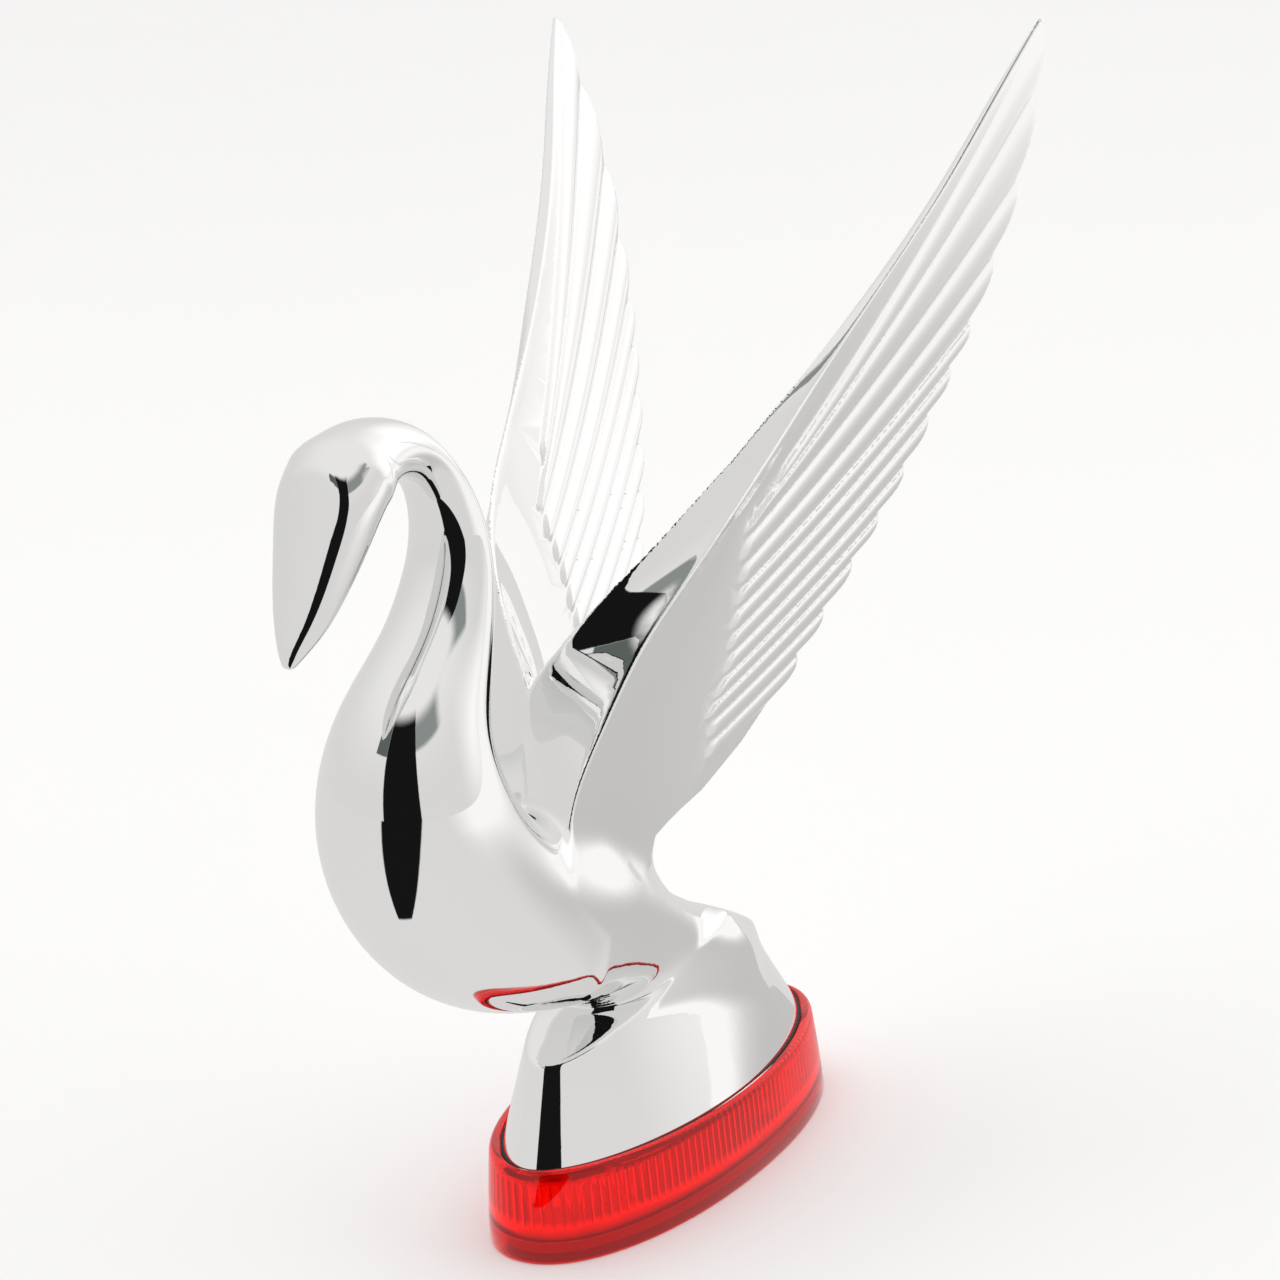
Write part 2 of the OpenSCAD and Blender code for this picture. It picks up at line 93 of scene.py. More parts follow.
# notches between the feathers, from the tip down: Y, height
FEATHER_NOTCHES = (
    (86.3, 199.4), (85.4, 182.0), (81.4, 167.3), (76.8, 154.8), (72.4, 146.2), (67.4, 137.4),
    (61.7, 128.2), (55.4, 119.6), (48.9, 111.6), (41.6, 103.0), (35.0, 95.2), (28.6, 87.4),
)
LOWER_EDGE = ((21.1, 80.4), (10.3, 73.4), (-3.5, 68.6), (-7.0, 60.0))
WING_FRONT_CLEAR = ((-50.0, 56.0), (-50.0, 120.0), (-24.0, 150.0), (8.0, 172.0), (44.0, 205.0), (70.0, 214.4))
# where each quill starts, from the top one down: Y, height
QUILL_STARTS = (
    (20.0, 135.0), (12.1, 127.9), (11.8, 122.1), (12.5, 117.2), (12.4, 112.9), (11.6, 107.9),
    (11.6, 103.5), (11.6, 99.1), (9.7, 94.2), (7.7, 90.0), (9.1, 85.9), (9.4, 81.3),
)
KEEL_BARS = (((-24.5, 98.0, 7.0), (-12.0, 66.0, 6.0)), ((-24.5, 98.0, 7.0), (-26.0, 66.0, 8.0)))
FOOT_HALF = (19.8, 46.1)
FOOT_POWER = 1.88
FOOT_Z = 17.4
PEDESTAL_TOP = 38.0
# the pedestal's top rises towards the back: places along Y, then the heights there
PEDESTAL_SHELF = ((-38.0, -26.0, 0.0, 16.0), (35.4, 38.5, 43.0, 46.0))
PEDESTAL_TOP_HALF = (13.0, 36.0)
PEDESTAL_TOP_MIDDLE = -2.0
REAR_CORNER_Y = (25.5, 19.5)
MOUNT_SPACING = 52.0
COVER_SCREW_SPACING = 72.0
PLATE_TOP = 3.5
# height just under the flutes, and how brightly the wall is lit there
FLUTE_FOOT_Z, LIT_UNDER_FLUTES = 5.6, 0.95
# how a wing thins behind its creases: share of the way to THIN_AT that it takes, and its least lengths, outer and inner
THIN_SHARE, THIN_AT, THIN_LEAST = 0.85, 14.0, (11, 10)
# rounds between brow and head, and along the rim of the bill's face
BROW_ROUND, BILL_ROUND = 1.5, 0.5
SHELF_ROUND = 1.4
# a vertex this near the form is on its skin; the form's slope is taken over this step; faces this alike share it
ON_SKIN, SLOPE_STEP, ALIKE = 0.08, 0.6, 0.6
CARD_BLACK = (0.008, 0.008, 0.008)
CARD_GREY, HIGH_CARD_GREY = (0.11, 0.13, 0.12), (0.27, 0.29, 0.28)


# ---------- the form of the casting, as a distance field ----------

def smooth_rows(rows, per_row, spread):
    """Rows joined by a smooth curve, with small unevenness taken out of it."""
    rows = np.array(rows, float)
    padded = np.vstack([2 * rows[0] - rows[1], rows, 2 * rows[-1] - rows[-2]])
    out = []
    for i in range(1, len(padded) - 2):
        a, b, c, d = padded[i - 1:i + 3]
        for t in np.arange(per_row) / per_row:
            out.append(0.5 * (2 * b + (c - a) * t + (2 * a - 5 * b + 4 * c - d) * t ** 2
                              + (3 * b - a - 3 * c + d) * t ** 3))
    out = np.array(out + [rows[-1]])
    width = int(spread * per_row * 3)
    before = 2 * out[0] - out[1:width + 1][::-1]
    after = 2 * out[-1] - out[-width - 1:-1][::-1]
    long = np.vstack([before, out, after])
    weights = np.exp(-0.5 * (np.arange(-width, width + 1) / (spread * per_row)) ** 2)
    weights /= weights.sum()
    return np.stack([np.convolve(long[:, k], weights, "valid") for k in range(rows.shape[1])], 1)


def smooth_max(a, b, k):
    reach = np.maximum(k - np.abs(a - b), 0) / k
    return np.maximum(a, b) + reach ** 3 * k / 6


def smooth_min(a, b, k):
    return -smooth_max(-a, -b, k)


def tube(x, y, z, line):
    """Distance to a tube of changing radius on the middle plane, refined between its samples."""
    best = np.full(x.shape, 1e6)
    low, high, last = best.copy(), best.copy(), best.copy()
    waiting = np.zeros(x.shape, bool)
    xx = x * x
    for qy, qz, radius, widen in line:
        here = np.sqrt(xx / widen ** 2 + (y - qy) ** 2 + (z - qz) ** 2) - radius
        high = np.where(waiting, here, high)
        waiting = here < best
        low = np.where(waiting, last, low)
        best = np.where(waiting, here, best)
        last = here
    inner = ~waiting & (low < 1e5)
    bend = np.where(inner, low + high - 2 * best, 1.0)
    shift = np.where(inner & (bend > 1e-9), (high - low) ** 2 / (8 * np.maximum(bend, 1e-9)), 0)
    return best - np.minimum(shift, 1.0)


def capsule(x, y, z, a, b):
    along = np.array([b[0] - a[0], b[1] - a[1]])
    t = np.clip(((y - a[0]) * along[0] + (z - a[1]) * along[1]) / (along @ along), 0, 1)
    radius = a[2] + (b[2] - a[2]) * t
    return np.sqrt(x * x + (y - a[0] - along[0] * t) ** 2 + (z - a[1] - along[1] * t) ** 2) - radius


def outline_distance(u, v, points):
    """Signed distance to a closed outline, below zero inside it."""
    points = np.array(points, float)
    best = np.full(u.shape, 1e9)
    inside = np.zeros(u.shape, bool)
    for a, b in zip(points, np.roll(points, -1, axis=0)):
        ex, ey = b - a
        wx, wy = u - a[0], v - a[1]
        t = np.clip((wx * ex + wy * ey) / (ex * ex + ey * ey), 0, 1)
        best = np.minimum(best, (wx - ex * t) ** 2 + (wy - ey * t) ** 2)
        if ey:
            crosses = (a[1] > v) != (b[1] > v)
            inside ^= crosses & (wx < ex * wy / ey)
    return np.where(inside, -1, 1) * np.sqrt(best)


class WingMap:
    """What depends only on the place on the wing's plane: its rear outline and its quills."""

    STEP = 0.2
    LOW = (-56.0, 50.0)
    SIZE = (760, 860)

    def __init__(self, bulge, sag, rounding):
        u, v = np.meshgrid(
            self.LOW[0] + self.STEP * np.arange(self.SIZE[0]),
            self.LOW[1] + self.STEP * np.arange(self.SIZE[1]), indexing="ij")
        self.edge = outline_distance(u, v, self.outline(bulge))
        self.quill = self.quills(u, v, sag, rounding)

    @staticmethod
    def outline(bulge):
        stops = [WING_TIP, *FEATHER_NOTCHES]
        points = []
        for i, (a, b) in enumerate(zip(stops, stops[1:])):
            a, b = np.array(a), np.array(b)
            along = (b - a) / np.linalg.norm(b - a)
            out = np.array([-along[1], along[0]]) * (bulge if i else 0.3 * bulge)
            for part in range(8):
                swell = math.sin(math.pi * (part / 8) ** 0.8)
                points.append(a + (b - a) * part / 8 + out * swell)
        return [*points, FEATHER_NOTCHES[-1], *LOWER_EDGE, *WING_FRONT_CLEAR]

    @staticmethod
    def quills(u, v, sag, rounding):
        """Height of the raised quills, from 0 in a groove to 1 on a quill's back."""
        stops = np.array([WING_TIP, *FEATHER_NOTCHES])
        starts = np.array(QUILL_STARTS)
        count = len(starts)
        at_start = np.arange(count)
        at_end = np.arange(2 * count + 1) / 2 - 0.5
        ends = np.empty((2 * count + 1, 2))
        ends[::2] = stops
        ends[1::2] = (stops[:-1] + stops[1:]) / 2

        def side(k):
            sx = np.interp(k, at_start, starts[:, 0])
            over = np.minimum(k, 0) + np.maximum(k - count + 1, 0)
            sy = np.interp(k, at_start, starts[:, 1]) - 4.5 * over
            ex, ey = (np.interp(k, at_end, ends[:, c]) for c in (0, 1))
            dx, dy = ex - sx, ey - sy
            long = np.hypot(dx, dy)
            t = ((u - sx) * dx + (v - sy) * dy) / long ** 2
            bow = sag * (long / 90) ** 2 * 4 * np.clip(t, 0, 1) * (1 - np.clip(t, 0, 1))
            return ((v - sy) * dx - (u - sx) * dy) / long + bow, t * long

        low, high = np.full(u.shape, -0.5), np.full(u.shape, count - 0.5)
        for _ in range(16):
            mid = (low + high) / 2
            above = side(mid)[0] > 0
            high = np.where(above, mid, high)
            low = np.where(above, low, mid)
        k = (low + high) / 2
        off, along = side(k)
        off_bead = 2 * np.abs(k - np.round(k))
        height = 1 - off_bead ** 2.2
        begin = (along - rounding * off_bead ** 2 * 0.8) / rounding
        begin = np.clip(begin, 0, 1)
        beyond = np.clip(1 - (np.abs(off) - 0.1) / 0.6, 0, 1)
        return height * begin * (2 - begin) * beyond

    def read(self, table, u, v):
        fu = np.clip((u - self.LOW[0]) / self.STEP, 0, self.SIZE[0] - 1.001)
        fv = np.clip((v - self.LOW[1]) / self.STEP, 0, self.SIZE[1] - 1.001)
        i, j = fu.astype(int), fv.astype(int)
        a, b = fu - i, fv - j
        return ((table[i, j] * (1 - a) + table[i + 1, j] * a) * (1 - b)
                + (table[i, j + 1] * (1 - a) + table[i + 1, j + 1] * a) * b)


class SwanForm:
    """The whole casting as one distance field, in millimetres."""

    def __init__(self, look):
        self.look = look
        self.body = smooth_rows(BODY_LINE, 6, 0.55)
        self.body[:, 3] = np.maximum(self.body[:, 3], 1.0)
        rows = smooth_rows(WING_ROWS[::-1], 12, 0.5)
        self.rows = rows[np.argsort(rows[:, 0])]
        self.deck = smooth_rows(DECK_LINE, 8, 0.4)
        lean, splay = math.radians(WING_LEAN), math.radians(-WING_SPLAY)
        turn = Matrix.Rotation(splay, 3, "Z") @ Matrix.Rotation(lean, 3, "Y")
        self.to_wing = np.array(turn.transposed())
        self.map = WingMap(look.feather_bulge, look.quill_sag, 2.2)

    @staticmethod
    def thinning(u, crease, least):
        """1 at a crease, falling to 0 where the wing is down to its blade; above 1 in front of the crease."""
        fall = np.clip((u - crease) / np.maximum(THIN_SHARE * (THIN_AT - crease), least), -1, 1)
        return np.where(fall < 0, 1 - 2 * fall, (1 - fall) ** 2)

    def wing(self, x, y, z):
        w, u, v = (sum(self.to_wing[i, c] * p for c, p in enumerate((x, y, z))) for i in range(3))
        w = w - WING_SET
        inner_u, inner_w, outer_u, outer_w = (
            np.interp(v, self.rows[:, 0], self.rows[:, c]) for c in (1, 2, 3, 4))
        du, dw = outer_u - inner_u, outer_w - inner_w
        face = ((w - inner_w) * du - (u - inner_u) * dw) / np.hypot(du, dw)
        across = np.clip(((w - inner_w) * dw + (u - inner_u) * du) / (dw * dw + du * du), 0, 1)
        face = face + self.look.edge_scoop * np.minimum(np.hypot(du, dw) / 12, 1) * 4 * across * (1 - across)
        plain = self.look.blade_half
        quill = self.look.quill_height * self.map.read(self.map.quill, u, v)
        outer, inner = (self.thinning(u, crease, least)
                        for crease, least in zip((outer_u, inner_u), THIN_LEAST))
        outside = w - (plain + (outer_w - plain) * outer + quill)
        inside = (-plain + (inner_w + plain) * inner - quill) - w
        rear = self.map.read(self.map.edge, u, v)
        blade = smooth_max(smooth_max(outside, inside, 0.4), rear, 0.9)
        return smooth_max(blade, face, self.look.crease_radius)

    def pedestal(self, x, y, z):
        up = np.clip((z - FOOT_Z) / (PEDESTAL_TOP - FOOT_Z), -0.4, 1.5)
        half_x = FOOT_HALF[0] + (PEDESTAL_TOP_HALF[0] - FOOT_HALF[0]) * up
        half_y = FOOT_HALF[1] + (PEDESTAL_TOP_HALF[1] - FOOT_HALF[1]) * up
        off = y - PEDESTAL_TOP_MIDDLE * up
        fx, fy = np.maximum(x, 1e-3) / half_x, np.maximum(np.abs(off), 1e-3) / half_y
        total = fx ** FOOT_POWER + fy ** FOOT_POWER
        rho = np.maximum(total ** (1 / FOOT_POWER), 0.05)
        slope = rho ** (1 - FOOT_POWER) * np.hypot(fx ** (FOOT_POWER - 1) / half_x, fy ** (FOOT_POWER - 1) / half_y)
        side = (rho - 1) / np.maximum(slope, 1e-3)
        corner = REAR_CORNER_Y[0] + (REAR_CORNER_Y[1] - REAR_CORNER_Y[0]) * up
        rear = half_y + PEDESTAL_TOP_MIDDLE * up
        s = np.clip((y - corner) / (rear - corner), 0, 1)
        return side + 1.7 * np.clip(up, 0, 1) * 4 * s * (1 - s)

    def head(self, x, y, z):
        """Bill, head and neck, with the bill's flat front cut so that a crease shows under the brow."""
        brow = capsule(x / BROW_WIDEN, y, z, *BROW_BAR)
        whole = smooth_min(tube(x, y, z, self.body), brow, BROW_ROUND)
        (at_y, at_z), (up_y, up_z), depth, growth = BILL_FACE
        along = (y - at_y) * up_y + (z - at_z) * up_z
        ahead = (z - at_z) * up_y - (y - at_y) * up_z
        face = np.hypot(x / BILL_WIDEN, np.maximum(ahead, 0)) - depth - growth * along
        face = face - 1.5 * np.maximum(-ahead, 0)
        return smooth_max(whole, face, BILL_ROUND)

    def trunk(self, x, y, z):
        body = self.head(x, y, z)
        shelf = np.interp(y, *PEDESTAL_SHELF)
        top = smooth_max(self.pedestal(x, y, z), z - shelf, SHELF_ROUND)
        low = smooth_min(body, top, self.look.belly_fillet)
        deck = z - np.interp(y, self.deck[:, 0], self.deck[:, 1]) + 1.2 * (x / 11) ** 2
        deck = deck - 20 * np.maximum(-9 - y, 0)
        return smooth_max(low, 0.9 * deck, 1.2)

    def distance(self, x, y, z):
        """The field at points with x at or above zero."""
        trunk = self.trunk(x, y, z)
        keel = np.minimum(*(capsule(x, y, z, a, b) for a, b in KEEL_BARS))
        wing = smooth_min(self.wing(x, y, z), keel, 6.0)
        return smooth_min(trunk, wing, self.look.wing_fillet)

    def at(self, points):
        out = np.empty(len(points))
        for start in range(0, len(points), 200000):
            p = points[start:start + 200000]
            out[start:start + 200000] = self.distance(np.abs(p[:, 0]), p[:, 1], p[:, 2])
        return out

    def slope(self, points, step):
        out = np.empty_like(points)
        for c in range(3):
            move = np.zeros(3)
            move[c] = step
            out[:, c] = self.at(points + move) - self.at(points - move)
        return out / (2 * step)


def field_grid(form, low, high, step, block):
    """Field values on a grid, worked out finely only near the surface. Nodes mirror across the middle plane."""
    counts = [int(math.ceil((high[c] - low[c]) / (step * block))) for c in range(3)]
    axes = [low[c] + step * block * np.arange(counts[c] + 1) for c in range(3)]
    mesh = np.stack(np.meshgrid(*axes, indexing="ij"), -1).reshape(-1, 3)
    coarse = form.at(mesh).reshape([c + 1 for c in counts])
    corners = np.stack([coarse[i:i + counts[0], j:j + counts[1], k:k + counts[2]]
                        for i in (0, 1) for j in (0, 1) for k in (0, 1)])
    reach = 1.1 * step * block
    near = (np.abs(corners).min(0) < reach) | (corners.min(0) * corners.max(0) < 0)
    sign = np.where(corners[0] < 0, -1.0, 1.0)
    grid = np.repeat(np.repeat(np.repeat(sign, block, 0), block, 1), block, 2)
    cells = np.argwhere(near) * block
    part = np.stack(np.meshgrid(*[np.arange(block)] * 3, indexing="ij"), -1).reshape(-1, 3)
    nodes = (cells[:, None, :] + part[None]).reshape(-1, 3)
    values = form.at(np.array(low) + nodes * step)
    grid[nodes[:, 0], nodes[:, 1], nodes[:, 2]] = values
    return grid


def net_surface(grid, low, step):
    """One vertex in each cell that the surface crosses, and one quad round each crossed grid edge."""
    inside = grid < 0
    near = np.zeros([n - 1 for n in grid.shape], np.uint8)
    for i in (0, 1):
        for j in (0, 1):
            for k in (0, 1):
                near += inside[i:near.shape[0] + i, j:near.shape[1] + j, k:near.shape[2] + k]
    cells = np.argwhere((near > 0) & (near < 8))
    index = np.full(near.shape, -1, np.int32)
    index[tuple(cells.T)] = np.arange(len(cells))
    total, hits = np.zeros((len(cells), 3)), np.zeros(len(cells))
    for axis in range(3):
        others = [c for c in range(3) if c != axis]
        for i in (0, 1):
            for j in (0, 1):
                a = cells.copy()
                a[:, others[0]] += i
                a[:, others[1]] += j
                b = a.copy()
                b[:, axis] += 1
                fa, fb = grid[tuple(a.T)], grid[tuple(b.T)]
                cut = (fa < 0) != (fb < 0)
                t = np.where(cut, fa / np.where(cut, fa - fb, 1), 0)
                point = a.astype(float)
                point[:, axis] += t
                total += point * cut[:, None]
                hits += cut
    vertices = np.array(low) + step * total / hits[:, None]
    quads = []
    for axis in range(3):
        o1, o2 = [(1, 2), (2, 0), (0, 1)][axis]
        head = [slice(None)] * 3
        tail = [slice(None)] * 3
        head[axis], tail[axis] = slice(None, -1), slice(1, None)
        first, second = inside[tuple(head)], inside[tuple(tail)]
        edges = np.argwhere(first != second)
        edges = edges[(edges[:, o1] > 0) & (edges[:, o2] > 0)]
        leaving = first[tuple(edges.T)]
        ring = []
        for s1, s2 in ((-1, -1), (0, -1), (0, 0), (-1, 0)):
            cell = edges.copy()
            cell[:, o1] += s1
            cell[:, o2] += s2
            ring.append(index[tuple(cell.T)])
        ring = np.stack(ring, 1)
        ring[~leaving] = ring[~leaving][:, ::-1]
        quads.append(ring)
    return vertices, np.vstack(quads)


# ---------- meshes ----------

def mesh_object(name, vertices, faces, smooth=True):
    """A new object from points in metres."""
    mesh = bpy.data.meshes.new(name)
    mesh.from_pydata([tuple(p) for p in vertices], [], [tuple(f) for f in faces])
    mesh.update()
    mesh.polygons.foreach_set("use_smooth", [smooth] * len(mesh.polygons))
    made = bpy.data.objects.new(name, mesh)
    bpy.context.scene.collection.objects.link(made)
    return made


def settle(made):
    """Turns the object with its modifiers into a plain mesh."""
    evaluated = made.evaluated_get(bpy.context.evaluated_depsgraph_get())
    mesh = bpy.data.meshes.new_from_object(evaluated)
    made.modifiers.clear()
    old = made.data
    made.data = mesh
    bpy.data.meshes.remove(old)
    mesh.name = made.name
    return made


def combine(made, other, operation):
    """A boolean of two closed meshes; the other one is used up."""
    before = len(made.data.polygons)
    step = made.modifiers.new("combine", "BOOLEAN")
    step.operation, step.object, step.solver = operation, other, "MANIFOLD"
    evaluated = made.evaluated_get(bpy.context.evaluated_depsgraph_get())
    if not len(evaluated.data.polygons) or len(evaluated.data.polygons) == before:
        step.solver = "EXACT"
    settle(made)
    bpy.data.objects.remove(other)
    if not len(made.data.polygons):
        raise RuntimeError(f"{made.name}: the {operation.lower()} left nothing")
    return made


def oval_points(half, power, angles, middle=0.0):
    s, c = np.sin(angles), np.cos(angles)
    return np.stack([half[0] * np.sign(s) * np.abs(s) ** (2 / power),
                     middle - half[1] * np.sign(c) * np.abs(c) ** (2 / power)], 1)


def even_angles(half, power, count):
    """Angles that step round an oval by equal lengths."""
    fine = np.linspace(0, 2 * math.pi, 7201)
    points = oval_points(half, power, fine)
    run = np.concatenate([[0], np.cumsum(np.hypot(*np.diff(points, axis=0).T))])
    return np.interp(np.arange(count) / count * run[-1], run, fine)


def loft(rings, closed):
    """Faces between rings of equal counts; closed joins the last ring to the first, else the ends are capped."""
    count, rows = len(rings[0]), len(rings)
    vertices = np.vstack(rings)
    turn = np.arange(count)
    after = (turn + 1) % count
    faces = []
    for r in range(rows if closed else rows - 1):
        a, b = r * count, ((r + 1) % rows) * count
        faces += np.stack([a + turn, a + after, b + after, b + turn], 1).tolist()
    if not closed:
        faces += [turn[::-1].tolist(), (turn + (rows - 1) * count).tolist()]
    return vertices, faces


def lathe(name, profile, segments, at=(0, 0, 0)):
    """A solid of revolution about Z from pairs of radius and height in millimetres; at is its place."""
    angles = np.arange(segments) / segments * 2 * math.pi
    rings = [np.stack([r * np.cos(angles), r * np.sin(angles), np.full(segments, z)], 1) for r, z in profile]
    vertices, faces = loft(rings, profile[0] == profile[-1])
    return mesh_object(name, (vertices + np.array(at)) * MM, faces)


def tidy_normals(made, sharp=35):
    """Merges doubles, points every face outwards and keeps real edges sharp."""
    work = bmesh.new()
    work.from_mesh(made.data)
    bmesh.ops.remove_doubles(work, verts=work.verts, dist=1e-7)
    bmesh.ops.dissolve_degenerate(work, edges=work.edges, dist=1e-7)
    bmesh.ops.recalc_face_normals(work, faces=work.faces)
    work.to_mesh(made.data)
    work.free()
    made.data.set_sharp_from_angle(angle=math.radians(sharp))
    return made


def finish_piece(made, material, slot, *nodes):
    made.data.materials.clear()
    made.data.materials.append(material)
    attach(made, "root")
    if nodes:
        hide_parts(*nodes)
    return made


# ---------- node trees ----------

class Value:
    """A number or colour in a node tree. An expression on numbers adds their Math nodes."""

    def __init__(self, tree, socket):
        self.tree, self.socket = tree, socket

    def math(self, operation, *others):
        return self.tree.node("ShaderNodeMath", {"operation": operation}, dict(enumerate((self, *others))))

    def __add__(self, other):
        return self.math("ADD", other)

    __radd__ = __add__

    def __mul__(self, other):
        return self.math("MULTIPLY", other)

    __rmul__ = __mul__

    def __sub__(self, other):
        return self.math("SUBTRACT", other)

    def __rsub__(self, other):
        return self.tree.node("ShaderNodeMath", {"operation": "SUBTRACT"}, {0: other, 1: self})

    def __truediv__(self, other):
        return self.math("DIVIDE", other)

    def __abs__(self):
        return self.math("ABSOLUTE")

    def ramp(self, low, high):
        """0 below low, 1 above high and smooth between; high may be the lower one."""
        swap = low > high
        made = self.tree.node("ShaderNodeMapRange", {"interpolation_type": "SMOOTHSTEP"},
                              {"Value": self, "From Min": min(low, high), "From Max": max(low, high)})
        return 1 - made if swap else made


class Tree:
    """Builds a shader or geometry tree with one call for each node."""

    def __init__(self, tree):
        self.tree = tree
        tree.nodes.clear()

    def node(self, kind, settings=None, sockets=None, output=0):
        made = self.tree.nodes.new(kind)
        for key, value in (settings or {}).items():
            setattr(made, key, value)
        for key, value in (sockets or {}).items():
            socket = self.find(made.inputs, key)
            if isinstance(value, Value):
                self.tree.links.new(value.socket, socket)
            else:
                socket.default_value = value
        return Value(self, self.find(made.outputs, output)) if made.outputs else None

    @staticmethod
    def find(sockets, key):
        if isinstance(key, int):
            return sockets[key]
        return next(s for s in sockets if s.name == key and s.enabled)

    def mix(self, factor, a, b):
        a, b = (v if isinstance(v, Value) else (*v, 1) for v in (a, b))
        made = self.tree.nodes.new("ShaderNodeMix")
        made.data_type = "RGBA"
        for place, value in ((0, factor), (6, a), (7, b)):
            if isinstance(value, Value):
                self.tree.links.new(value.socket, made.inputs[place])
            else:
                made.inputs[place].default_value = value
        return Value(self, made.outputs[2])

    def axis(self, name):
        place = self.node("ShaderNodeTexCoord", output="Object")
        return self.node("ShaderNodeSeparateXYZ", None, {0: place}, output=name)

    def noise(self, scale, detail=2.0, stretch=(1, 1, 1), roughness=0.5):
        place = self.node("ShaderNodeTexCoord", output="Object")
        place = self.node("ShaderNodeVectorMath", {"operation": "MULTIPLY"}, {0: place, 1: stretch})
        return self.node("ShaderNodeTexNoise", None,
                         {"Vector": place, "Scale": scale, "Detail": detail, "Roughness": roughness}, "Fac")

    def spots(self, scale):
        place = self.node("ShaderNodeTexCoord", output="Object")
        return self.node("ShaderNodeTexVoronoi", None, {"Vector": place, "Scale": scale}, "Distance")

    def bump(self, height, strength, distance):
        return self.node("ShaderNodeBump", None, {"Strength": strength, "Distance": distance, "Height": height})

    def surface(self, **sockets):
        """The Principled shader; an underscore in a socket's name stands for a space."""
        named = {key.replace("_", " "): (*v, 1) if isinstance(v, tuple) and len(v) == 3 else v
                 for key, v in sockets.items()}
        made = self.node("ShaderNodeBsdfPrincipled", None, named)
        self.node("ShaderNodeOutputMaterial", None, {"Surface": made})


def new_material(name):
    """The material of that name and its tree, or only the material if it is made already."""
    made = bpy.data.materials.get(name)
    if made:
        return made, None
    made = bpy.data.materials.new(name)
    made.use_nodes = True
    return made, Tree(made.node_tree)


# ---------- finishes ----------

def chrome_finish(look):
    made, tree = new_material("polished chrome")
    if tree:
        cloud = tree.noise(9, 2).ramp(0.3, 0.7)
        haze = tree.noise(900, 3, roughness=0.65)
        peel = tree.noise(34, 1)
        tree.surface(
            Base_Color=tree.mix(cloud, tuple(look.chrome_colour), (0.93, 0.93, 0.925)),
            Metallic=1.0,
            Roughness=0.012 + 0.03 * haze.ramp(0.45, 0.8) + 0.012 * cloud,
            Normal=tree.bump(peel + 0.02 * haze, 0.12, 0.0006),
        )
    return made


def ruby_finish(look, rise):
    """Clear red moulded plastic, with the bulb's light painted into it as glow. Its inner wall carries the light; "lit"
    marks how much at each point.
    """
    made, tree = new_material("ruby lens")
    if tree:
        height = tree.axis("Z") / rise
        lit = tree.node("ShaderNodeAttribute", {"attribute_name": "lit"}, None, "Fac")
        flow = tree.noise(60, 2, (1, 1, 3))
        foot = height.ramp(0.03, 0.0)
        # painted light: a band just under the flutes glows brighter, as if the bulb lit it more strongly
        brighter_glow_band = height.ramp(0.18, 0.24) * height.ramp(0.40, 0.34)
        # painted light: the bulb's light is painted in as emission, dim all over the lens and brighter where "lit" is
        # high
        glow = tree.mix(lit * (0.8 + 0.2 * flow), (0.13, 0.0008, 0.0004), (0.80, 0.030, 0.004))
        glow = tree.mix(brighter_glow_band * lit, glow, (1.3, 0.045, 0.006))
        tree.surface(
            Base_Color=tree.mix(flow, tuple(look.lens_colour), (0.62, 0.005, 0.004)),
            Roughness=0.03 + 0.05 * tree.noise(300, 2).ramp(0.5, 0.8) + 0.2 * foot,
            IOR=1.45,
            Specular_IOR_Level=0.22,
            Transmission_Weight=0.85,
            Emission_Color=glow,
            Emission_Strength=look.lens_glow,
            Normal=tree.bump(tree.noise(45, 1), 0.05, 0.0004),
        )
    return made


def rubber_finish(name, colour, grain):
    made, tree = new_material(name)
    if tree:
        fine = tree.noise(grain, 4, roughness=0.7)
        wear = tree.noise(70, 3).ramp(0.45, 0.75)
        tree.surface(
            Base_Color=tree.mix(wear, colour, tuple(1.9 * c for c in colour)),
            Roughness=0.5 + 0.25 * fine,
            Normal=tree.bump(fine, 0.35, 0.0003),
        )
    return made


def metal_finish(name, colour, dull, brushed, rough=0.3, patchy=0.5):
    """Plated or drawn metal; brushed stretches its grain along one direction."""
    made, tree = new_material(name)
    if tree:
        grain = tree.noise(160, 3, brushed, 0.6)
        patch = tree.noise(55, 4).ramp(0.4, 0.8)
        spangle = tree.spots(240)
        tree.surface(
            Base_Color=tree.mix(patch * patchy, colour, dull),
            Metallic=1.0,
            Roughness=rough + 0.16 * grain + 0.12 * patch,
            Normal=tree.bump(grain + 0.3 * spangle, 0.18, 0.0002),
        )
    return made


def moulded_finish(name, colour):
    made, tree = new_material(name)
    if tree:
        speck = tree.spots(900)
        sink = tree.noise(40, 2)
        tree.surface(
            Base_Color=tree.mix(sink.ramp(0.4, 0.7), colour, tuple(2.2 * c for c in colour)),
            Roughness=0.38 + 0.2 * speck.ramp(0.1, 0.6),
            Normal=tree.bump(speck + 0.4 * sink, 0.2, 0.0002),
        )
    return made


def bulb_glass_finish():
    made, tree = new_material("bulb glass")
    if tree:
        seed = tree.spots(420).ramp(0.06, 0.0)
        soot = tree.noise(120, 3).ramp(0.55, 0.8)
        tree.surface(
            Base_Color=tree.mix(soot * 0.5, (0.97, 0.98, 1.0), (0.75, 0.72, 0.66)),
            Roughness=0.02 + 0.05 * soot,
            IOR=1.5,
            Transmission_Weight=1.0,
            Normal=tree.bump(seed + 0.2 * tree.noise(50, 1), 0.15, 0.0003),
        )
    return made


# ---------- sizes and colours that a user would change ----------

def length(name, description, default, low, high):
    return bpy.props.FloatProperty(
        name=name, description=description, default=default, min=low, max=high, precision=3)


def colour(name, description, default):
    return bpy.props.FloatVectorProperty(
        name=name, description=description, default=default, size=3, subtype="COLOR", min=0, max=1)


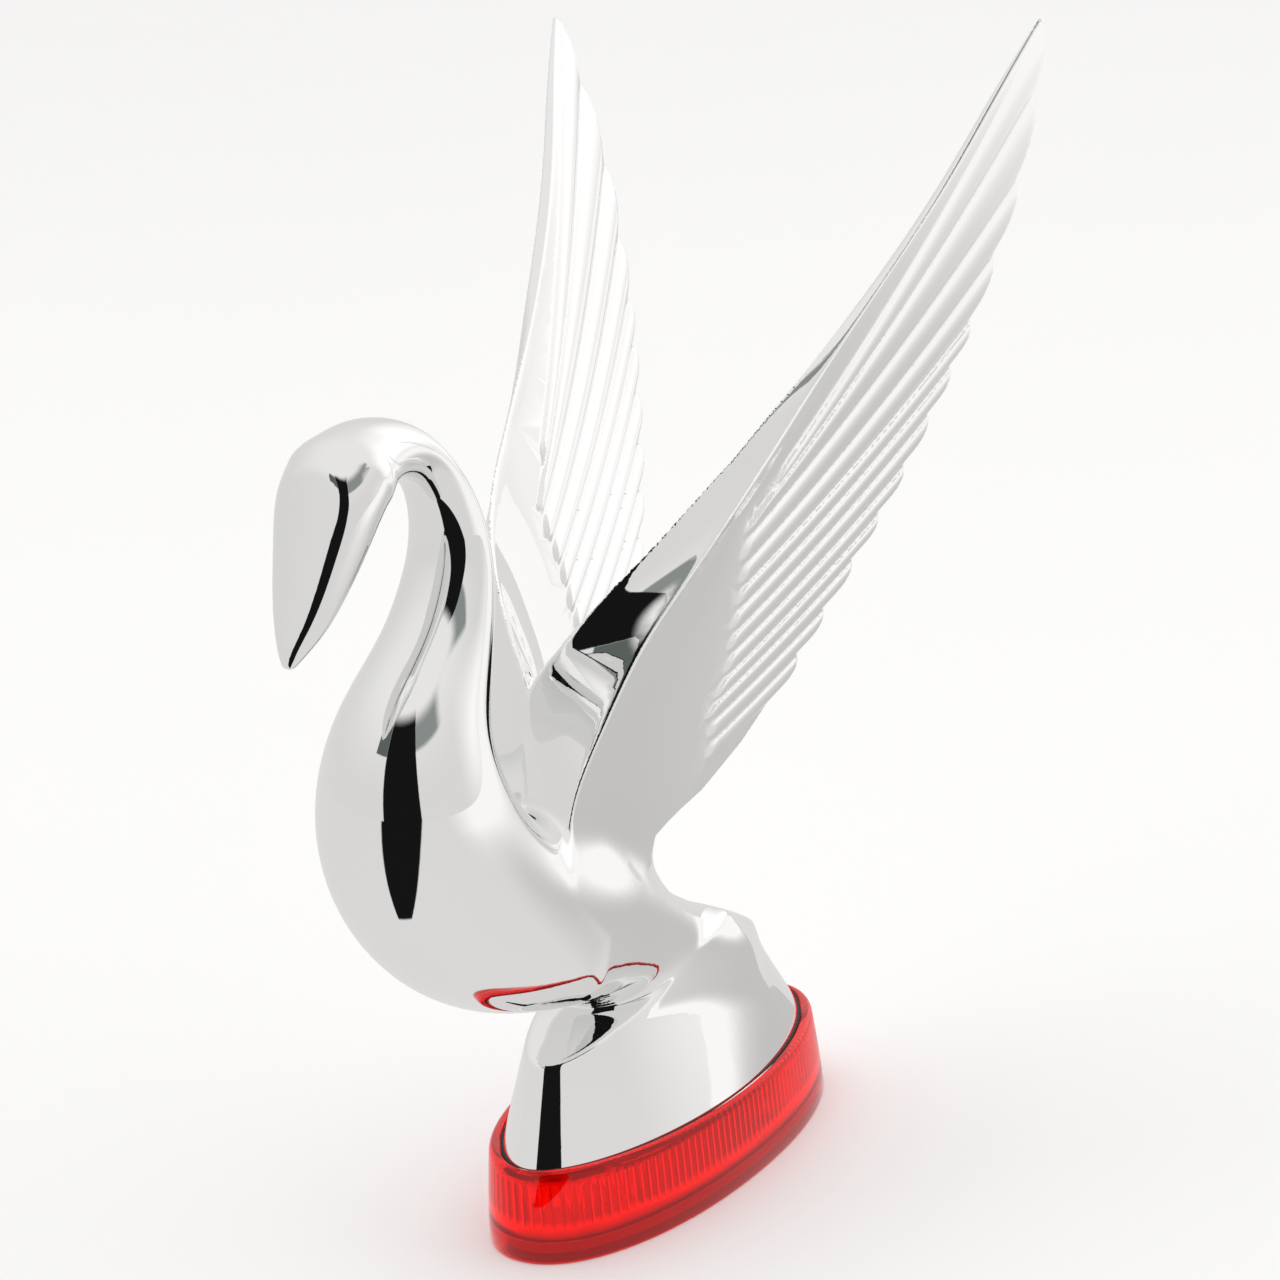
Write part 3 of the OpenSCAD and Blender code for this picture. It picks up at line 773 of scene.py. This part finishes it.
class SwanLook(bpy.types.PropertyGroup):
    """Sizes of the casting, in millimetres."""
    grid_step: length("Grid step", "Spacing of the grid that the casting's form is worked out on", 0.5, 0.4, 2.0)
    triangles: bpy.props.IntProperty(
        name="Triangles", description="Most triangles the casting may have", default=186000, min=20000)
    blade_half: length("Blade", "Half thickness of a wing's blade in its grooves", 0.75, 0.3, 2)
    quill_height: length("Quill height", "How far a quill stands out of the blade", 0.75, 0, 1.5)
    quill_sag: length("Quill sag", "How far a long quill hangs below a straight line", 2.5, 0, 8)
    feather_bulge: length("Feather tip", "How far a feather's end stands out past its notches", 1.5, 0, 4)
    edge_scoop: length("Edge scoop", "Hollow of the face along a wing's front edge", 0.5, 0, 2)
    crease_radius: length("Crease", "Size of the round on the wings' creases", 1.8, 0.2, 3)
    belly_fillet: length("Belly fillet", "Size of the hollow between belly and pedestal", 8.0, 0.5, 20)
    wing_fillet: length("Wing fillet", "Size of the hollow between wings and body", 9.0, 0.5, 20)
    casting_wall: length("Wall", "Wall of the casting round its hollow foot", 2.8, 1, 5)
    chrome_colour: colour("Chrome", "Colour of the chrome", (0.87, 0.872, 0.87))


class LampLook(bpy.types.PropertyGroup):
    """The lit base: its lens, in millimetres, and its light."""
    flute_count: bpy.props.IntProperty(name="Flutes", description="Light-spreading flutes inside the lens",
                                       default=120, min=12)
    flute_depth: length("Flute depth", "Depth of one flute", 0.5, 0.1, 1.5)
    lens_colour: colour("Lens", "Colour of the lens", (0.72, 0.006, 0.004))
    lens_glow: bpy.props.FloatProperty(name="Glow", description="Brightness of the light in the lens",
                                       default=0.68, min=0)
    filament_turns: bpy.props.IntProperty(name="Filament turns", description="Turns of the bulb's filament",
                                          default=14, min=2)


class StageLook(bpy.types.PropertyGroup):
    """Camera and light."""
    azimuth: bpy.props.FloatProperty(name="Azimuth", description="Side the camera looks from",
                                     default=math.radians(33.0), subtype="ANGLE")
    elevation: bpy.props.FloatProperty(name="Elevation", description="Height the camera looks from",
                                       default=math.radians(17.128), subtype="ANGLE")
    roll: bpy.props.FloatProperty(name="Roll", description="Turn of the picture",
                                  default=math.radians(-4.676), subtype="ANGLE")
    place: bpy.props.FloatVectorProperty(name="Place", description="Where the camera stands",
                                         default=(0.348005, -0.528972, 0.300066),
                                         subtype="TRANSLATION", unit="LENGTH")
    focal: bpy.props.FloatProperty(name="Focal length", description="Focal length in millimetres on a 36 mm sensor",
                                   default=99.75, min=20)
    brightness: bpy.props.FloatProperty(name="Studio brightness", description="Light of the white tent", default=1.0)


# ---------- the casting ----------

def project(form, points, rounds):
    for _ in range(rounds):
        slope = form.slope(points, 0.2)
        off = form.at(points) / np.maximum((slope * slope).sum(1), 0.05)
        points = points - off[:, None] * slope
    return points


def casting_skin(form, step):
    """The casting's outside, mirrored about the middle plane, in millimetres."""
    low, high = (0.5 * step, -101.0, 13.0), (57.0, 89.0, 215.0)
    half = field_grid(form, low, high, step, 5)
    points, quads = net_surface(
        np.concatenate([half[::-1], half]), (0.5 * step - step * half.shape[0], *low[1:]), step)
    return project(form, points, 2), quads


def thin_out(made, triangles):
    """Splits quads and collapses flat places until the mesh has at most that many triangles."""
    work = bmesh.new()
    work.from_mesh(made.data)
    bmesh.ops.triangulate(work, faces=work.faces)
    work.to_mesh(made.data)
    work.free()
    if len(made.data.polygons) > triangles:
        step = made.modifiers.new("thin out", "DECIMATE")
        step.ratio = triangles / len(made.data.polygons)
        settle(made)
    return made


def cut_foot(made):
    """Cuts the pedestal off flat where it stands on its gasket."""
    work = bmesh.new()
    work.from_mesh(made.data)
    geometry = [*work.verts, *work.edges, *work.faces]
    cut = bmesh.ops.bisect_plane(work, geom=geometry, plane_co=(0, 0, FOOT_Z * MM), plane_no=(0, 0, 1),
                                 clear_inner=True)["geom_cut"]
    rim = [e for e in cut if isinstance(e, bmesh.types.BMEdge)]
    bmesh.ops.triangle_fill(work, edges=rim, use_beauty=True)
    bmesh.ops.recalc_face_normals(work, faces=work.faces)
    work.to_mesh(made.data)
    work.free()
    return made


def foot_hollow(wall):
    angles = np.arange(96) / 96 * 2 * math.pi
    rings = []
    for z, half, middle in (
            (FOOT_Z - 3, (FOOT_HALF[0] - wall, FOOT_HALF[1] - wall), 0.0),
            (FOOT_Z, (FOOT_HALF[0] - wall, FOOT_HALF[1] - wall), 0.0),
            (PEDESTAL_TOP - 7, (PEDESTAL_TOP_HALF[0] - wall, PEDESTAL_TOP_HALF[1] - wall - 3), -1.6),
            (PEDESTAL_TOP - 5.2, (PEDESTAL_TOP_HALF[0] - wall - 2, PEDESTAL_TOP_HALF[1] - wall - 6), -1.6)):
        ring = oval_points(half, FOOT_POWER, angles, middle)
        rings.append(np.column_stack([ring, np.full(len(ring), z)]))
    vertices, faces = loft(rings, False)
    return tidy_normals(mesh_object("hollow", vertices * MM, faces))


def skin_normals(made, form):
    """Shades the cast skin by the form itself, and machined faces by their own planes."""
    mesh = made.data
    points = np.empty(len(mesh.vertices) * 3)
    mesh.vertices.foreach_get("co", points)
    points = points.reshape(-1, 3) / MM
    on_skin = np.abs(form.at(points)) < ON_SKIN
    slope = form.slope(points, SLOPE_STEP)
    slope /= np.maximum(np.linalg.norm(slope, axis=1), 1e-6)[:, None]
    corner_vertex = np.empty(len(mesh.loops), np.int32)
    mesh.loops.foreach_get("vertex_index", corner_vertex)
    face_normal = np.empty(len(mesh.polygons) * 3)
    mesh.polygons.foreach_get("normal", face_normal)
    sizes = np.empty(len(mesh.polygons), np.int32)
    mesh.polygons.foreach_get("loop_total", sizes)
    corner_face = np.repeat(face_normal.reshape(-1, 3), sizes, axis=0)
    corner = slope[corner_vertex]
    keep = on_skin[corner_vertex] & ((corner * corner_face).sum(1) > ALIKE)
    plain = np.empty(len(mesh.loops) * 3)
    mesh.corner_normals.foreach_get("vector", plain)
    corner = np.where(keep[:, None], corner, plain.reshape(-1, 3))
    mesh.normals_split_custom_set(corner.tolist())


def build_casting(look):
    form = SwanForm(look)
    points, quads = casting_skin(form, look.grid_step * (1))
    made = mesh_object("swan_chrome", points * MM, quads.tolist())
    thin_out(made, look.triangles)
    cut_foot(made)
    combine(made, foot_hollow(look.casting_wall), "DIFFERENCE")
    for spacing, radius, top in ((MOUNT_SPACING, 6.6, PEDESTAL_TOP - 3), (COVER_SCREW_SPACING, 3.8, 24.0)):
        for side in (-1, 1):
            at = (0, side * spacing / 2, 0)
            ring = [(radius, PLATE_TOP), (radius, top)]
            combine(made, tidy_normals(lathe("boss", ring, 48, at)), "UNION")
    for spacing, radius, top in ((MOUNT_SPACING, 4.52, 18.0), (COVER_SCREW_SPACING, 1.5, 16.0)):
        for side in (-1, 1):
            at = (0, side * spacing / 2, 0)
            combine(made, tidy_normals(lathe("bore", [(radius, 1.0), (radius, top)], 48, at)), "DIFFERENCE")
    made.data.set_sharp_from_angle(angle=math.radians(35))
    skin_normals(made, form)
    return finish_piece(made, chrome_finish(look), "chrome", "swan_casting")


# ---------- the lens ----------

def start_group(name, inputs):
    """A geometry tree with the object's geometry and these inputs; also hands back each input's value."""
    group = bpy.data.node_groups.new(name, "GeometryNodeTree")
    for key, kind in (("Geometry", "Geometry"), *inputs):
        group.interface.new_socket(key, in_out="INPUT", socket_type="NodeSocket" + kind)
    group.interface.new_socket("Geometry", in_out="OUTPUT", socket_type="NodeSocketGeometry")
    tree = Tree(group)
    return group, tree, [tree.node("NodeGroupInput", output=k) for k in range(len(inputs) + 1)]


def end_group(group, tree, geometry, material):
    """Makes the geometry real, gives it its material and hands it out."""
    real = tree.node("GeometryNodeRealizeInstances", None, {"Geometry": geometry})
    done = tree.node("GeometryNodeSetMaterial", None, {"Geometry": real, "Material": material})
    group.links.new(done.socket, group.nodes.new("NodeGroupOutput").inputs[0])
    return group


def flute_tree():
    """Presses the flutes into the lens's inner wall: each point moves outwards by a wave round the wall."""
    group, tree, (shell, count, depth, material) = start_group(
        "lens flutes", (("Flutes", "Int"), ("Depth", "Float"), ("Material", "Material")))
    along, band, out = (
        tree.node("GeometryNodeInputNamedAttribute", {"data_type": kind}, {"Name": name}, "Attribute")
        for name, kind in (("along", "FLOAT"), ("band", "FLOAT"), ("outward", "FLOAT_VECTOR")))
    wave = (along * count * (2 * math.pi)).math("COSINE")
    push = abs(wave) * -1 * depth * band
    offset = tree.node("ShaderNodeVectorMath", {"operation": "SCALE"}, {0: out, "Scale": push})
    moved = tree.node("GeometryNodeSetPosition", None, {"Geometry": shell, "Offset": offset})
    return end_group(group, tree, moved, material)


def grow(made, group, values):
    """Runs a geometry tree on an object and keeps its result as a plain mesh."""
    step = made.modifiers.new("grow", "NODES")
    step.node_group = group
    names = {s.name: s.identifier for s in group.interface.items_tree if s.in_out == "INPUT"}
    for name, value in values.items():
        step[names[name]] = value
    settle(made)
    bpy.data.node_groups.remove(group)
    return made


def build_lens(look):
    low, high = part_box("lens")
    half = ((high.x - low.x) / 2 / MM, (high.y - low.y) / 2 / MM)
    rim_z = high.z / MM
    power, columns = 2.12, look.flute_count * 8
    bore = (half[0] - 2.6, half[1] - 2.6)
    cavity = (bore[0] - 1.8, bore[1] - 1.8)
    rim = (half[0] - 0.9, half[1] - 2.2)
    groove = (FOOT_HALF[0] + 0.7, FOOT_HALF[1] + 0.7)
    steps = (
        # height, half widths, power, share of a flute
        (0.0, (half[0] - 0.5, half[1] - 0.5), power, 0), (0.12, (half[0] - 0.2, half[1] - 0.2), power, 0),
        (0.5, half, power, 0), (3.9, (half[0] - 0.08, half[1] - 0.35), power, 0),
        (9.0, (half[0] - 0.35, half[1] - 1.0), power, 0),
        (rim_z - 1.3, (rim[0] + 0.05, rim[1] + 0.1), power, 0),
        (rim_z - 0.7, (rim[0] - 0.12, rim[1] - 0.12), power, 0),
        (rim_z - 0.25, (rim[0] - 0.45, rim[1] - 0.45), power, 0), (rim_z, (rim[0] - 0.95, rim[1] - 0.95), power, 0),
        (rim_z, (groove[0] + 0.15, groove[1] + 0.15), FOOT_POWER, 0), (rim_z - 0.15, groove, FOOT_POWER, 0),
        (rim_z - 1.2, groove, FOOT_POWER, 0), (rim_z - 1.2, (14.2, 41.0), power, 0), (14.6, (14.2, 41.0), power, 0),
        (14.6, (cavity[0] - 0.7, cavity[1] - 0.7), power, 0), (14.1, (cavity[0] - 0.5, cavity[1] - 0.5), power, 0.3),
        (13.8, cavity, power, 1), (5.9, cavity, power, 1), (FLUTE_FOOT_Z, cavity, power, 0),
        (3.5, cavity, power, 0),
        (3.5, bore, power, 0), (0.15, bore, power, 0), (0.0, (bore[0] + 0.15, bore[1] + 0.15), power, 0),
    )
    angles = even_angles(cavity, power, columns)
    rings = []
    for z, ring_half, ring_power, _ in steps:
        ring = oval_points(ring_half, ring_power, angles)
        rings.append(np.column_stack([ring, np.full(columns, z)]))
    vertices, faces = loft(rings, True)
    made = mesh_object("lens_ruby", vertices * MM, faces)
    around = np.stack([np.sin(angles) / cavity[0], -np.cos(angles) / cavity[1], 0 * angles], 1)
    around /= np.linalg.norm(around, axis=1)[:, None]
    # painted light: "lit" holds how brightly the bulb lights each point of the inner wall, changing across each flute
    # and even in the ring just under the flutes, zero elsewhere
    glow_across_flute = np.abs(np.cos(np.arange(columns) / 8 * math.pi)) ** 0.7
    lit = []
    for z, _, _, share in steps:
        plain = LIT_UNDER_FLUTES if z == FLUTE_FOOT_Z else 0.0
        lit.append((0.35 + 0.5 * glow_across_flute) * share if share else np.full(columns, plain))
    for name, kind, data in (
            ("lit", "FLOAT", np.concatenate(lit)),
            ("along", "FLOAT", np.tile(np.arange(columns) / columns / 2, len(steps))),
            ("band", "FLOAT", np.repeat([s[3] for s in steps], columns)),
            ("outward", "FLOAT_VECTOR", np.tile(around, (len(steps), 1)))):
        attribute = made.data.attributes.new(name, kind, "POINT")
        attribute.data.foreach_set("value" if kind == "FLOAT" else "vector", np.asarray(data, np.float32).ravel())
    material = ruby_finish(look, high.z)
    grow(made, flute_tree(), {"Flutes": look.flute_count, "Depth": look.flute_depth * MM, "Material": material})
    for name in ("along", "band", "outward"):
        made.data.attributes.remove(made.data.attributes[name])
    tidy_normals(made, 40)
    return finish_piece(made, material, "red_lens", "lens")


# ---------- screws, rivets, inserts and bulb ----------

def copies_tree():
    """Puts the unit on every point of the object that carries the modifier."""
    group, tree, (spots, unit, material) = start_group(
        "unit on points", (("Unit", "Object"), ("Material", "Material")))
    mesh = tree.node("GeometryNodeObjectInfo", None, {"Object": unit}, "Geometry")
    placed = tree.node("GeometryNodeInstanceOnPoints", None, {"Points": spots, "Instance": mesh})
    return end_group(group, tree, placed, material)


def place_copies(name, unit, spots, material, slot, *nodes):
    """One piece from a unit that stands at several spots, given in millimetres."""
    made = mesh_object(name, [Vector(s) * MM for s in spots], [])
    grow(made, copies_tree(), {"Unit": unit, "Material": material})
    bpy.data.objects.remove(unit)
    return finish_piece(tidy_normals(made), material, slot, *nodes)


def threads(low, high, pitch, root, crest):
    """Radius and height of a screw's ridges from low to high."""
    turns = int((high - low) / pitch)
    return [(r, low + pitch * (i + part)) for i in range(turns) for part, r in ((0.0, root), (0.5, crest))]


def screw_unit():
    """A pan-head screw with its head down and a cross recess under it."""
    head = [(2.1, 0.3), (2.6, 0.42), (2.88, 0.8), (2.9, 1.5), (1.2, 1.5)]
    made = tidy_normals(lathe("screw", [*head, *threads(1.9, 13.9, 0.8, 1.14, 1.45), (1.14, 14.0), (0.5, 15.0)], 32))
    for turn in (0, 90):
        slot_box = bmesh.new()
        bmesh.ops.create_cube(slot_box, size=1.0)
        bmesh.ops.scale(slot_box, vec=Vector((3.2, 0.6, 1.2)) * MM, verts=slot_box.verts)
        bmesh.ops.translate(slot_box, vec=Vector((0, 0, 0.4 - 0.001 * turn)) * MM, verts=slot_box.verts)
        bmesh.ops.rotate(slot_box, matrix=Matrix.Rotation(math.radians(turn), 3, "Z"), verts=slot_box.verts)
        cutter = mesh_object("recess", [], [])
        slot_box.to_mesh(cutter.data)
        slot_box.free()
        combine(made, cutter, "DIFFERENCE")
    return made


def rivet_unit(head_top):
    """A rivet with its shop head under the plate and its domed head at head_top."""
    profile = [(1.2, 0.9), (1.8, 1.05), (2.0, 1.35), (2.0, 1.5), (1.1, 1.5), (1.1, head_top), (1.9, head_top),
               (1.8, head_top + 0.3), (1.35, head_top + 0.55), (0.6, head_top + 0.7)]
    return tidy_normals(lathe("rivet", profile, 32))


def build_screws():
    steel = metal_finish("screw steel", (0.62, 0.61, 0.57), (0.42, 0.41, 0.36), (1, 1, 6), 0.24)
    half = COVER_SCREW_SPACING / 2
    place_copies("cross_screws", screw_unit(), [(0, -half, 0), (0, half, 0)], steel, "screw_steel", "cover_screws")
    for name, node, top in (("bracket_rivet_pair", "bracket_rivets", 5.0),
                            ("earth_rivet_domed", "earth_rivet", 4.3)):
        low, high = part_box(node)
        y = (low.y + high.y) / 2 / MM
        spots = [(-5.0, y, 0), (5.0, y, 0)] if node == "bracket_rivets" else [((low.x + high.x) / 2 / MM, y, 0)]
        place_copies(name, rivet_unit(top), spots, steel, "screw_steel", node)


def build_inserts():
    """Tapped brass inserts with two knurled belts."""
    brass = metal_finish("turned brass", (0.80, 0.60, 0.27), (0.52, 0.36, 0.14), (1, 1, 8), 0.2)
    outside = [(4.2, 0.3), (4.5, 0.6), (4.5, 2.0), (4.5, 7.5), (4.2, 7.7), (4.2, 9.0), (4.5, 9.2), (4.5, 16.6),
               (4.2, 17.3)]
    inside = [(2.9, 17.3), *[(r, 17.6 - z) for r, z in threads(0.9, 16.6, 1.0, 2.5, 2.85)], (2.9, 0.3)]
    profile = [*outside, *inside, outside[0]]
    columns = 72
    angles = np.arange(columns) / columns * 2 * math.pi
    for name, node, y in (("front_insert_knurled", "front_insert", -MOUNT_SPACING / 2),
                          ("rear_insert_knurled", "rear_insert", MOUNT_SPACING / 2)):
        rings = []
        for r, z in profile[:-1]:
            knurl = 0.16 * (np.arange(columns) % 2) if r == 4.5 else 0
            rings.append(np.column_stack([(r - knurl) * np.cos(angles), (r - knurl) * np.sin(angles) + y,
                                          np.full(columns, z)]))
        vertices, faces = loft(rings, True)
        made = tidy_normals(mesh_object(name, vertices * MM, faces))
        finish_piece(made, brass, "brass", node)


def coil_tree():
    """A wire wound round the X axis."""
    group, tree, (_, turns, radius, wire, long, middle, material) = start_group(
        "filament coil", (("Turns", "Float"), ("Coil radius", "Float"), ("Wire radius", "Float"),
                          ("Length", "Float"), ("Middle", "Vector"), ("Material", "Material")))
    path = tree.node("GeometryNodeCurveSpiral", None, {
        "Resolution": 16, "Rotations": turns, "Start Radius": radius, "End Radius": radius, "Height": long})
    section = tree.node("GeometryNodeCurvePrimitiveCircle", None, {"Resolution": 8, "Radius": wire})
    body = tree.node("GeometryNodeCurveToMesh", None, {"Curve": path, "Profile Curve": section, "Fill Caps": True})
    laid = tree.node("GeometryNodeTransform", None, {"Geometry": body, "Rotation": (0, math.pi / 2, 0)})
    laid = tree.node("GeometryNodeTransform", None, {"Geometry": laid, "Translation": middle})
    return end_group(group, tree, laid, material)


def build_filament(look):
    low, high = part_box("bulb_filament")
    wire = 0.07 * MM
    steel = metal_finish("bulb wire", (0.45, 0.44, 0.43), (0.25, 0.25, 0.26), (8, 1, 1), 0.3)
    made = mesh_object("filament_coil", [(0, 0, 0)], [])
    grow(made, coil_tree(), {
        "Turns": float(look.filament_turns), "Coil radius": (high.z - low.z) / 2 - wire, "Wire radius": wire,
        "Length": high.x - low.x - 2 * wire,
        "Middle": Vector((low.x + wire, (low.y + high.y) / 2, (low.z + high.z) / 2)), "Material": steel})
    finish_piece(tidy_normals(made, 60), steel, "bulb_wire", "bulb_filament")


def finish_frame_parts():
    """Finishes for the parts whose shape the frame already has right."""
    zinc = metal_finish("zinc plated sheet", (0.66, 0.67, 0.66), (0.45, 0.46, 0.44), (1, 7, 1), 0.28)
    brass = metal_finish("pressed brass", (0.80, 0.61, 0.29), (0.55, 0.39, 0.17), (6, 1, 1), 0.24)
    rubber = rubber_finish("gasket rubber", (0.010, 0.010, 0.011), 700)
    finishes = {
        "lens_gasket": rubber, "wire_grommet": rubber,
        "base_pad": rubber_finish("sponge rubber", (0.016, 0.016, 0.017), 1500),
        "base_plate": zinc, "lamp_bracket": zinc,
        "reflector": metal_finish("bright aluminium", (0.90, 0.90, 0.89), (0.78, 0.78, 0.77), (1, 9, 1), 0.1, 0.3),
        "bulb_holder": moulded_finish("moulded nylon", (0.022, 0.022, 0.022)),
        "holder_contact_upper": brass, "holder_contact_lower": brass, "earth_tab": brass,
        "bulb_glass": bulb_glass_finish(),
        "bulb_leads": metal_finish("lead wire", (0.55, 0.54, 0.53), (0.35, 0.34, 0.34), (1, 8, 1), 0.26),
    }
    for node, made in finishes.items():
        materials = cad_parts[node].data.materials
        materials.clear()
        materials.append(made)


# ---------- the stage ----------

def look_grey(level):
    """The tent's warm grey at a level from 0 to 1."""
    return (level, level * 0.988, level * 0.98)


def build_reflected_floor(look):
    """A disc that only mirrors see: the floor as the chrome shows it, with the dark fan of the tent's opening on it."""
    ring = np.arange(96) / 96 * 2 * math.pi
    points = np.column_stack([3 * np.cos(ring), 3 * np.sin(ring), np.full(96, -0.001)])
    disc = mesh_object("reflected_floor", points, [tuple(range(96))], False)
    made, tree = new_material("reflected floor")
    x, y = tree.axis("X"), tree.axis("Y")
    away = (x * x + y * y).math("SQRT")
    side = x.math("ARCTAN2", y * -1) * (180 / math.pi)
    fan = (x + 0.012).math("ARCTAN2", (y + 0.115) * -1) * (180 / math.pi)
    fan = fan.ramp(-2, 0) * fan.ramp(48, 46) * y.ramp(-0.134, -0.138)
    shade = tree.mix(side.ramp(100, 155), look_grey(0.76), look_grey(0.60))
    shade = tree.mix(away.ramp(0.2, 0.7) * side.ramp(70, 110), shade, look_grey(1.05))
    shade = tree.mix(fan, shade, CARD_BLACK)
    glow = tree.node("ShaderNodeEmission", None, {"Color": shade, "Strength": look.brightness})
    tree.node("ShaderNodeOutputMaterial", None, {"Surface": glow})
    disc.data.materials.append(made)
    for ray in ("camera", "diffuse", "transmission", "volume_scatter", "shadow"):
        setattr(disc, "visible_" + ray, False)


def build_stage(look):
    scene = bpy.context.scene
    a, e, r = look.azimuth, look.elevation, look.roll
    back = Vector((math.sin(a) * math.cos(e), -math.cos(a) * math.cos(e), math.sin(e)))
    level = Vector((math.cos(a), math.sin(a), 0))
    rise = back.cross(level)
    right = level * math.cos(r) + rise * math.sin(r)
    up = rise * math.cos(r) - level * math.sin(r)
    data = bpy.data.cameras.new("camera")
    data.lens, data.sensor_width, data.sensor_fit = look.focal, 36.0, "AUTO"
    data.clip_start, data.clip_end = 0.05, 20
    camera = bpy.data.objects.new("camera", data)
    camera.matrix_world = Matrix((
        (right.x, up.x, back.x, look.place[0]), (right.y, up.y, back.y, look.place[1]),
        (right.z, up.z, back.z, look.place[2]), (0, 0, 0, 1)))
    scene.collection.objects.link(camera)
    scene.camera = camera
    scene.view_settings.view_transform = "Standard"

    floor = mesh_object("floor", [(-3, -3, 0), (3, -3, 0), (3, 3, 0), (-3, 3, 0)], [(0, 1, 2, 3)], False)
    paper, tree = new_material("studio paper")
    tree.surface(Base_Color=tree.mix(tree.noise(3, 2), (0.93, 0.93, 0.93), (0.95, 0.95, 0.95)), Roughness=0.9,
                 Emission_Color=(1.0, 1.0, 1.0), Emission_Strength=0.17)
    floor.data.materials.append(paper)
    floor.visible_glossy = False
    build_reflected_floor(look)

    for name, spot, aim, size, power in (
            ("overhead softbox", (-0.3, -0.2, 1.6), (0, 0, 0.1), 1.2, 2.5),
            ("side softbox", (1.5, 0.4, 0.8), (0, 0, 0.1), 1.0, 1.5)):
        light = bpy.data.lights.new(name, "AREA")
        light.shape, light.size, light.energy = "DISK", size, power
        lamp = bpy.data.objects.new(name, light)
        lamp.location = spot
        lamp.rotation_euler = (Vector(spot) - Vector(aim)).to_track_quat("Z", "Y").to_euler()
        lamp.visible_glossy = False
        scene.collection.objects.link(lamp)

    world = bpy.data.worlds.new("white tent")
    scene.world = world
    world.use_nodes = True
    tree = Tree(world.node_tree)
    ray = tree.node("ShaderNodeTexCoord", output="Generated")
    x, y, z = (tree.node("ShaderNodeSeparateXYZ", None, {0: ray}, axis) for axis in "XYZ")
    side = x.math("ARCTAN2", y * -1) * (180 / math.pi)
    height = z.math("ARCSINE") * (180 / math.pi)
    black = side.ramp(1, 2) * side.ramp(47, 46) * height.ramp(62, 52)
    left_card = side.ramp(-17, -16) * side.ramp(2, 1) * height.ramp(34, 35) * height.ramp(58, 50)
    high_card = side.ramp(45, 47) * side.ramp(92, 80) * height.ramp(34, 38) * height.ramp(60, 48)
    tent = tree.mix(height.ramp(10, 65), look_grey(0.75), look_grey(0.89))
    tent = tree.mix(side.ramp(100, 150) * height.ramp(-12, 8) * height.ramp(60, 30), tent, look_grey(1.16))
    tent = tree.mix(side.ramp(-150, -178) * height.ramp(60, 30), tent, look_grey(1.16))
    tent = tree.mix(high_card, tent, HIGH_CARD_GREY)
    tent = tree.mix(black, tent, CARD_BLACK)
    tent = tree.mix(left_card, tent, CARD_GREY)
    seen = tree.node("ShaderNodeLightPath", output="Is Camera Ray")
    tent = tree.mix(seen, tent, (1.12, 1.12, 1.12))
    glow = tree.node("ShaderNodeBackground", None, {"Color": tent, "Strength": look.brightness})
    tree.node("ShaderNodeOutputWorld", None, {"Surface": glow})


# ---------- operators, panel and run ----------

class SWAN_OT_stage(bpy.types.Operator):
    """Camera, floor, lamps and the white tent round the ornament"""
    bl_idname = "swan.stage"
    bl_label = "Stage"

    def execute(self, context):
        build_stage(context.scene.swan_stage)
        return {"FINISHED"}


class SWAN_OT_casting(bpy.types.Operator):
    """The chromed swan with its pedestal"""
    bl_idname = "swan.casting"
    bl_label = "Swan casting"

    def execute(self, context):
        build_casting(context.scene.swan_look)
        return {"FINISHED"}


class SWAN_OT_lens(bpy.types.Operator):
    """The red lens with its inner flutes"""
    bl_idname = "swan.lens"
    bl_label = "Lens"

    def execute(self, context):
        build_lens(context.scene.swan_lamp)
        return {"FINISHED"}


class SWAN_OT_screws(bpy.types.Operator):
    """Cross-recess cover screws and the rivets"""
    bl_idname = "swan.screws"
    bl_label = "Screws and rivets"

    def execute(self, context):
        build_screws()
        return {"FINISHED"}


class SWAN_OT_inserts(bpy.types.Operator):
    """Knurled, tapped brass inserts"""
    bl_idname = "swan.inserts"
    bl_label = "Inserts"

    def execute(self, context):
        build_inserts()
        return {"FINISHED"}


class SWAN_OT_filament(bpy.types.Operator):
    """The wound filament of the bulb"""
    bl_idname = "swan.filament"
    bl_label = "Filament"

    def execute(self, context):
        build_filament(context.scene.swan_lamp)
        return {"FINISHED"}


class SWAN_OT_frame_finishes(bpy.types.Operator):
    """Rubber, sheet metal, brass, nylon and glass on the parts kept from the frame"""
    bl_idname = "swan.frame_finishes"
    bl_label = "Frame finishes"

    def execute(self, context):
        finish_frame_parts()
        return {"FINISHED"}


class SWAN_PT_panel(bpy.types.Panel):
    """Lists the ornament's pieces"""
    bl_label = "Swan ornament"
    bl_idname = "SWAN_PT_panel"
    bl_space_type = "VIEW_3D"
    bl_region_type = "UI"
    bl_category = "Swan ornament"

    def draw(self, context):
        for operator in OPERATORS:
            self.layout.operator(operator.bl_idname)
        for name, group in GROUPS.items():
            box = self.layout.box()
            for key in group.__annotations__:
                box.prop(getattr(context.scene, name), key)


OPERATORS = (SWAN_OT_stage, SWAN_OT_casting, SWAN_OT_lens, SWAN_OT_screws, SWAN_OT_inserts, SWAN_OT_filament,
             SWAN_OT_frame_finishes)
GROUPS = {"swan_look": SwanLook, "swan_lamp": LampLook, "swan_stage": StageLook}


def register():
    for kind in (*GROUPS.values(), *OPERATORS, SWAN_PT_panel):
        bpy.utils.register_class(kind)
    for name, group in GROUPS.items():
        setattr(bpy.types.Scene, name, bpy.props.PointerProperty(type=group))


def unregister():
    for name in GROUPS:
        delattr(bpy.types.Scene, name)
    for kind in reversed((*GROUPS.values(), *OPERATORS, SWAN_PT_panel)):
        bpy.utils.unregister_class(kind)


def main():
    register()
    for operator in OPERATORS:
        family, name = operator.bl_idname.split(".")
        getattr(getattr(bpy.ops, family), name)()


if __name__ == "__main__":
    main()
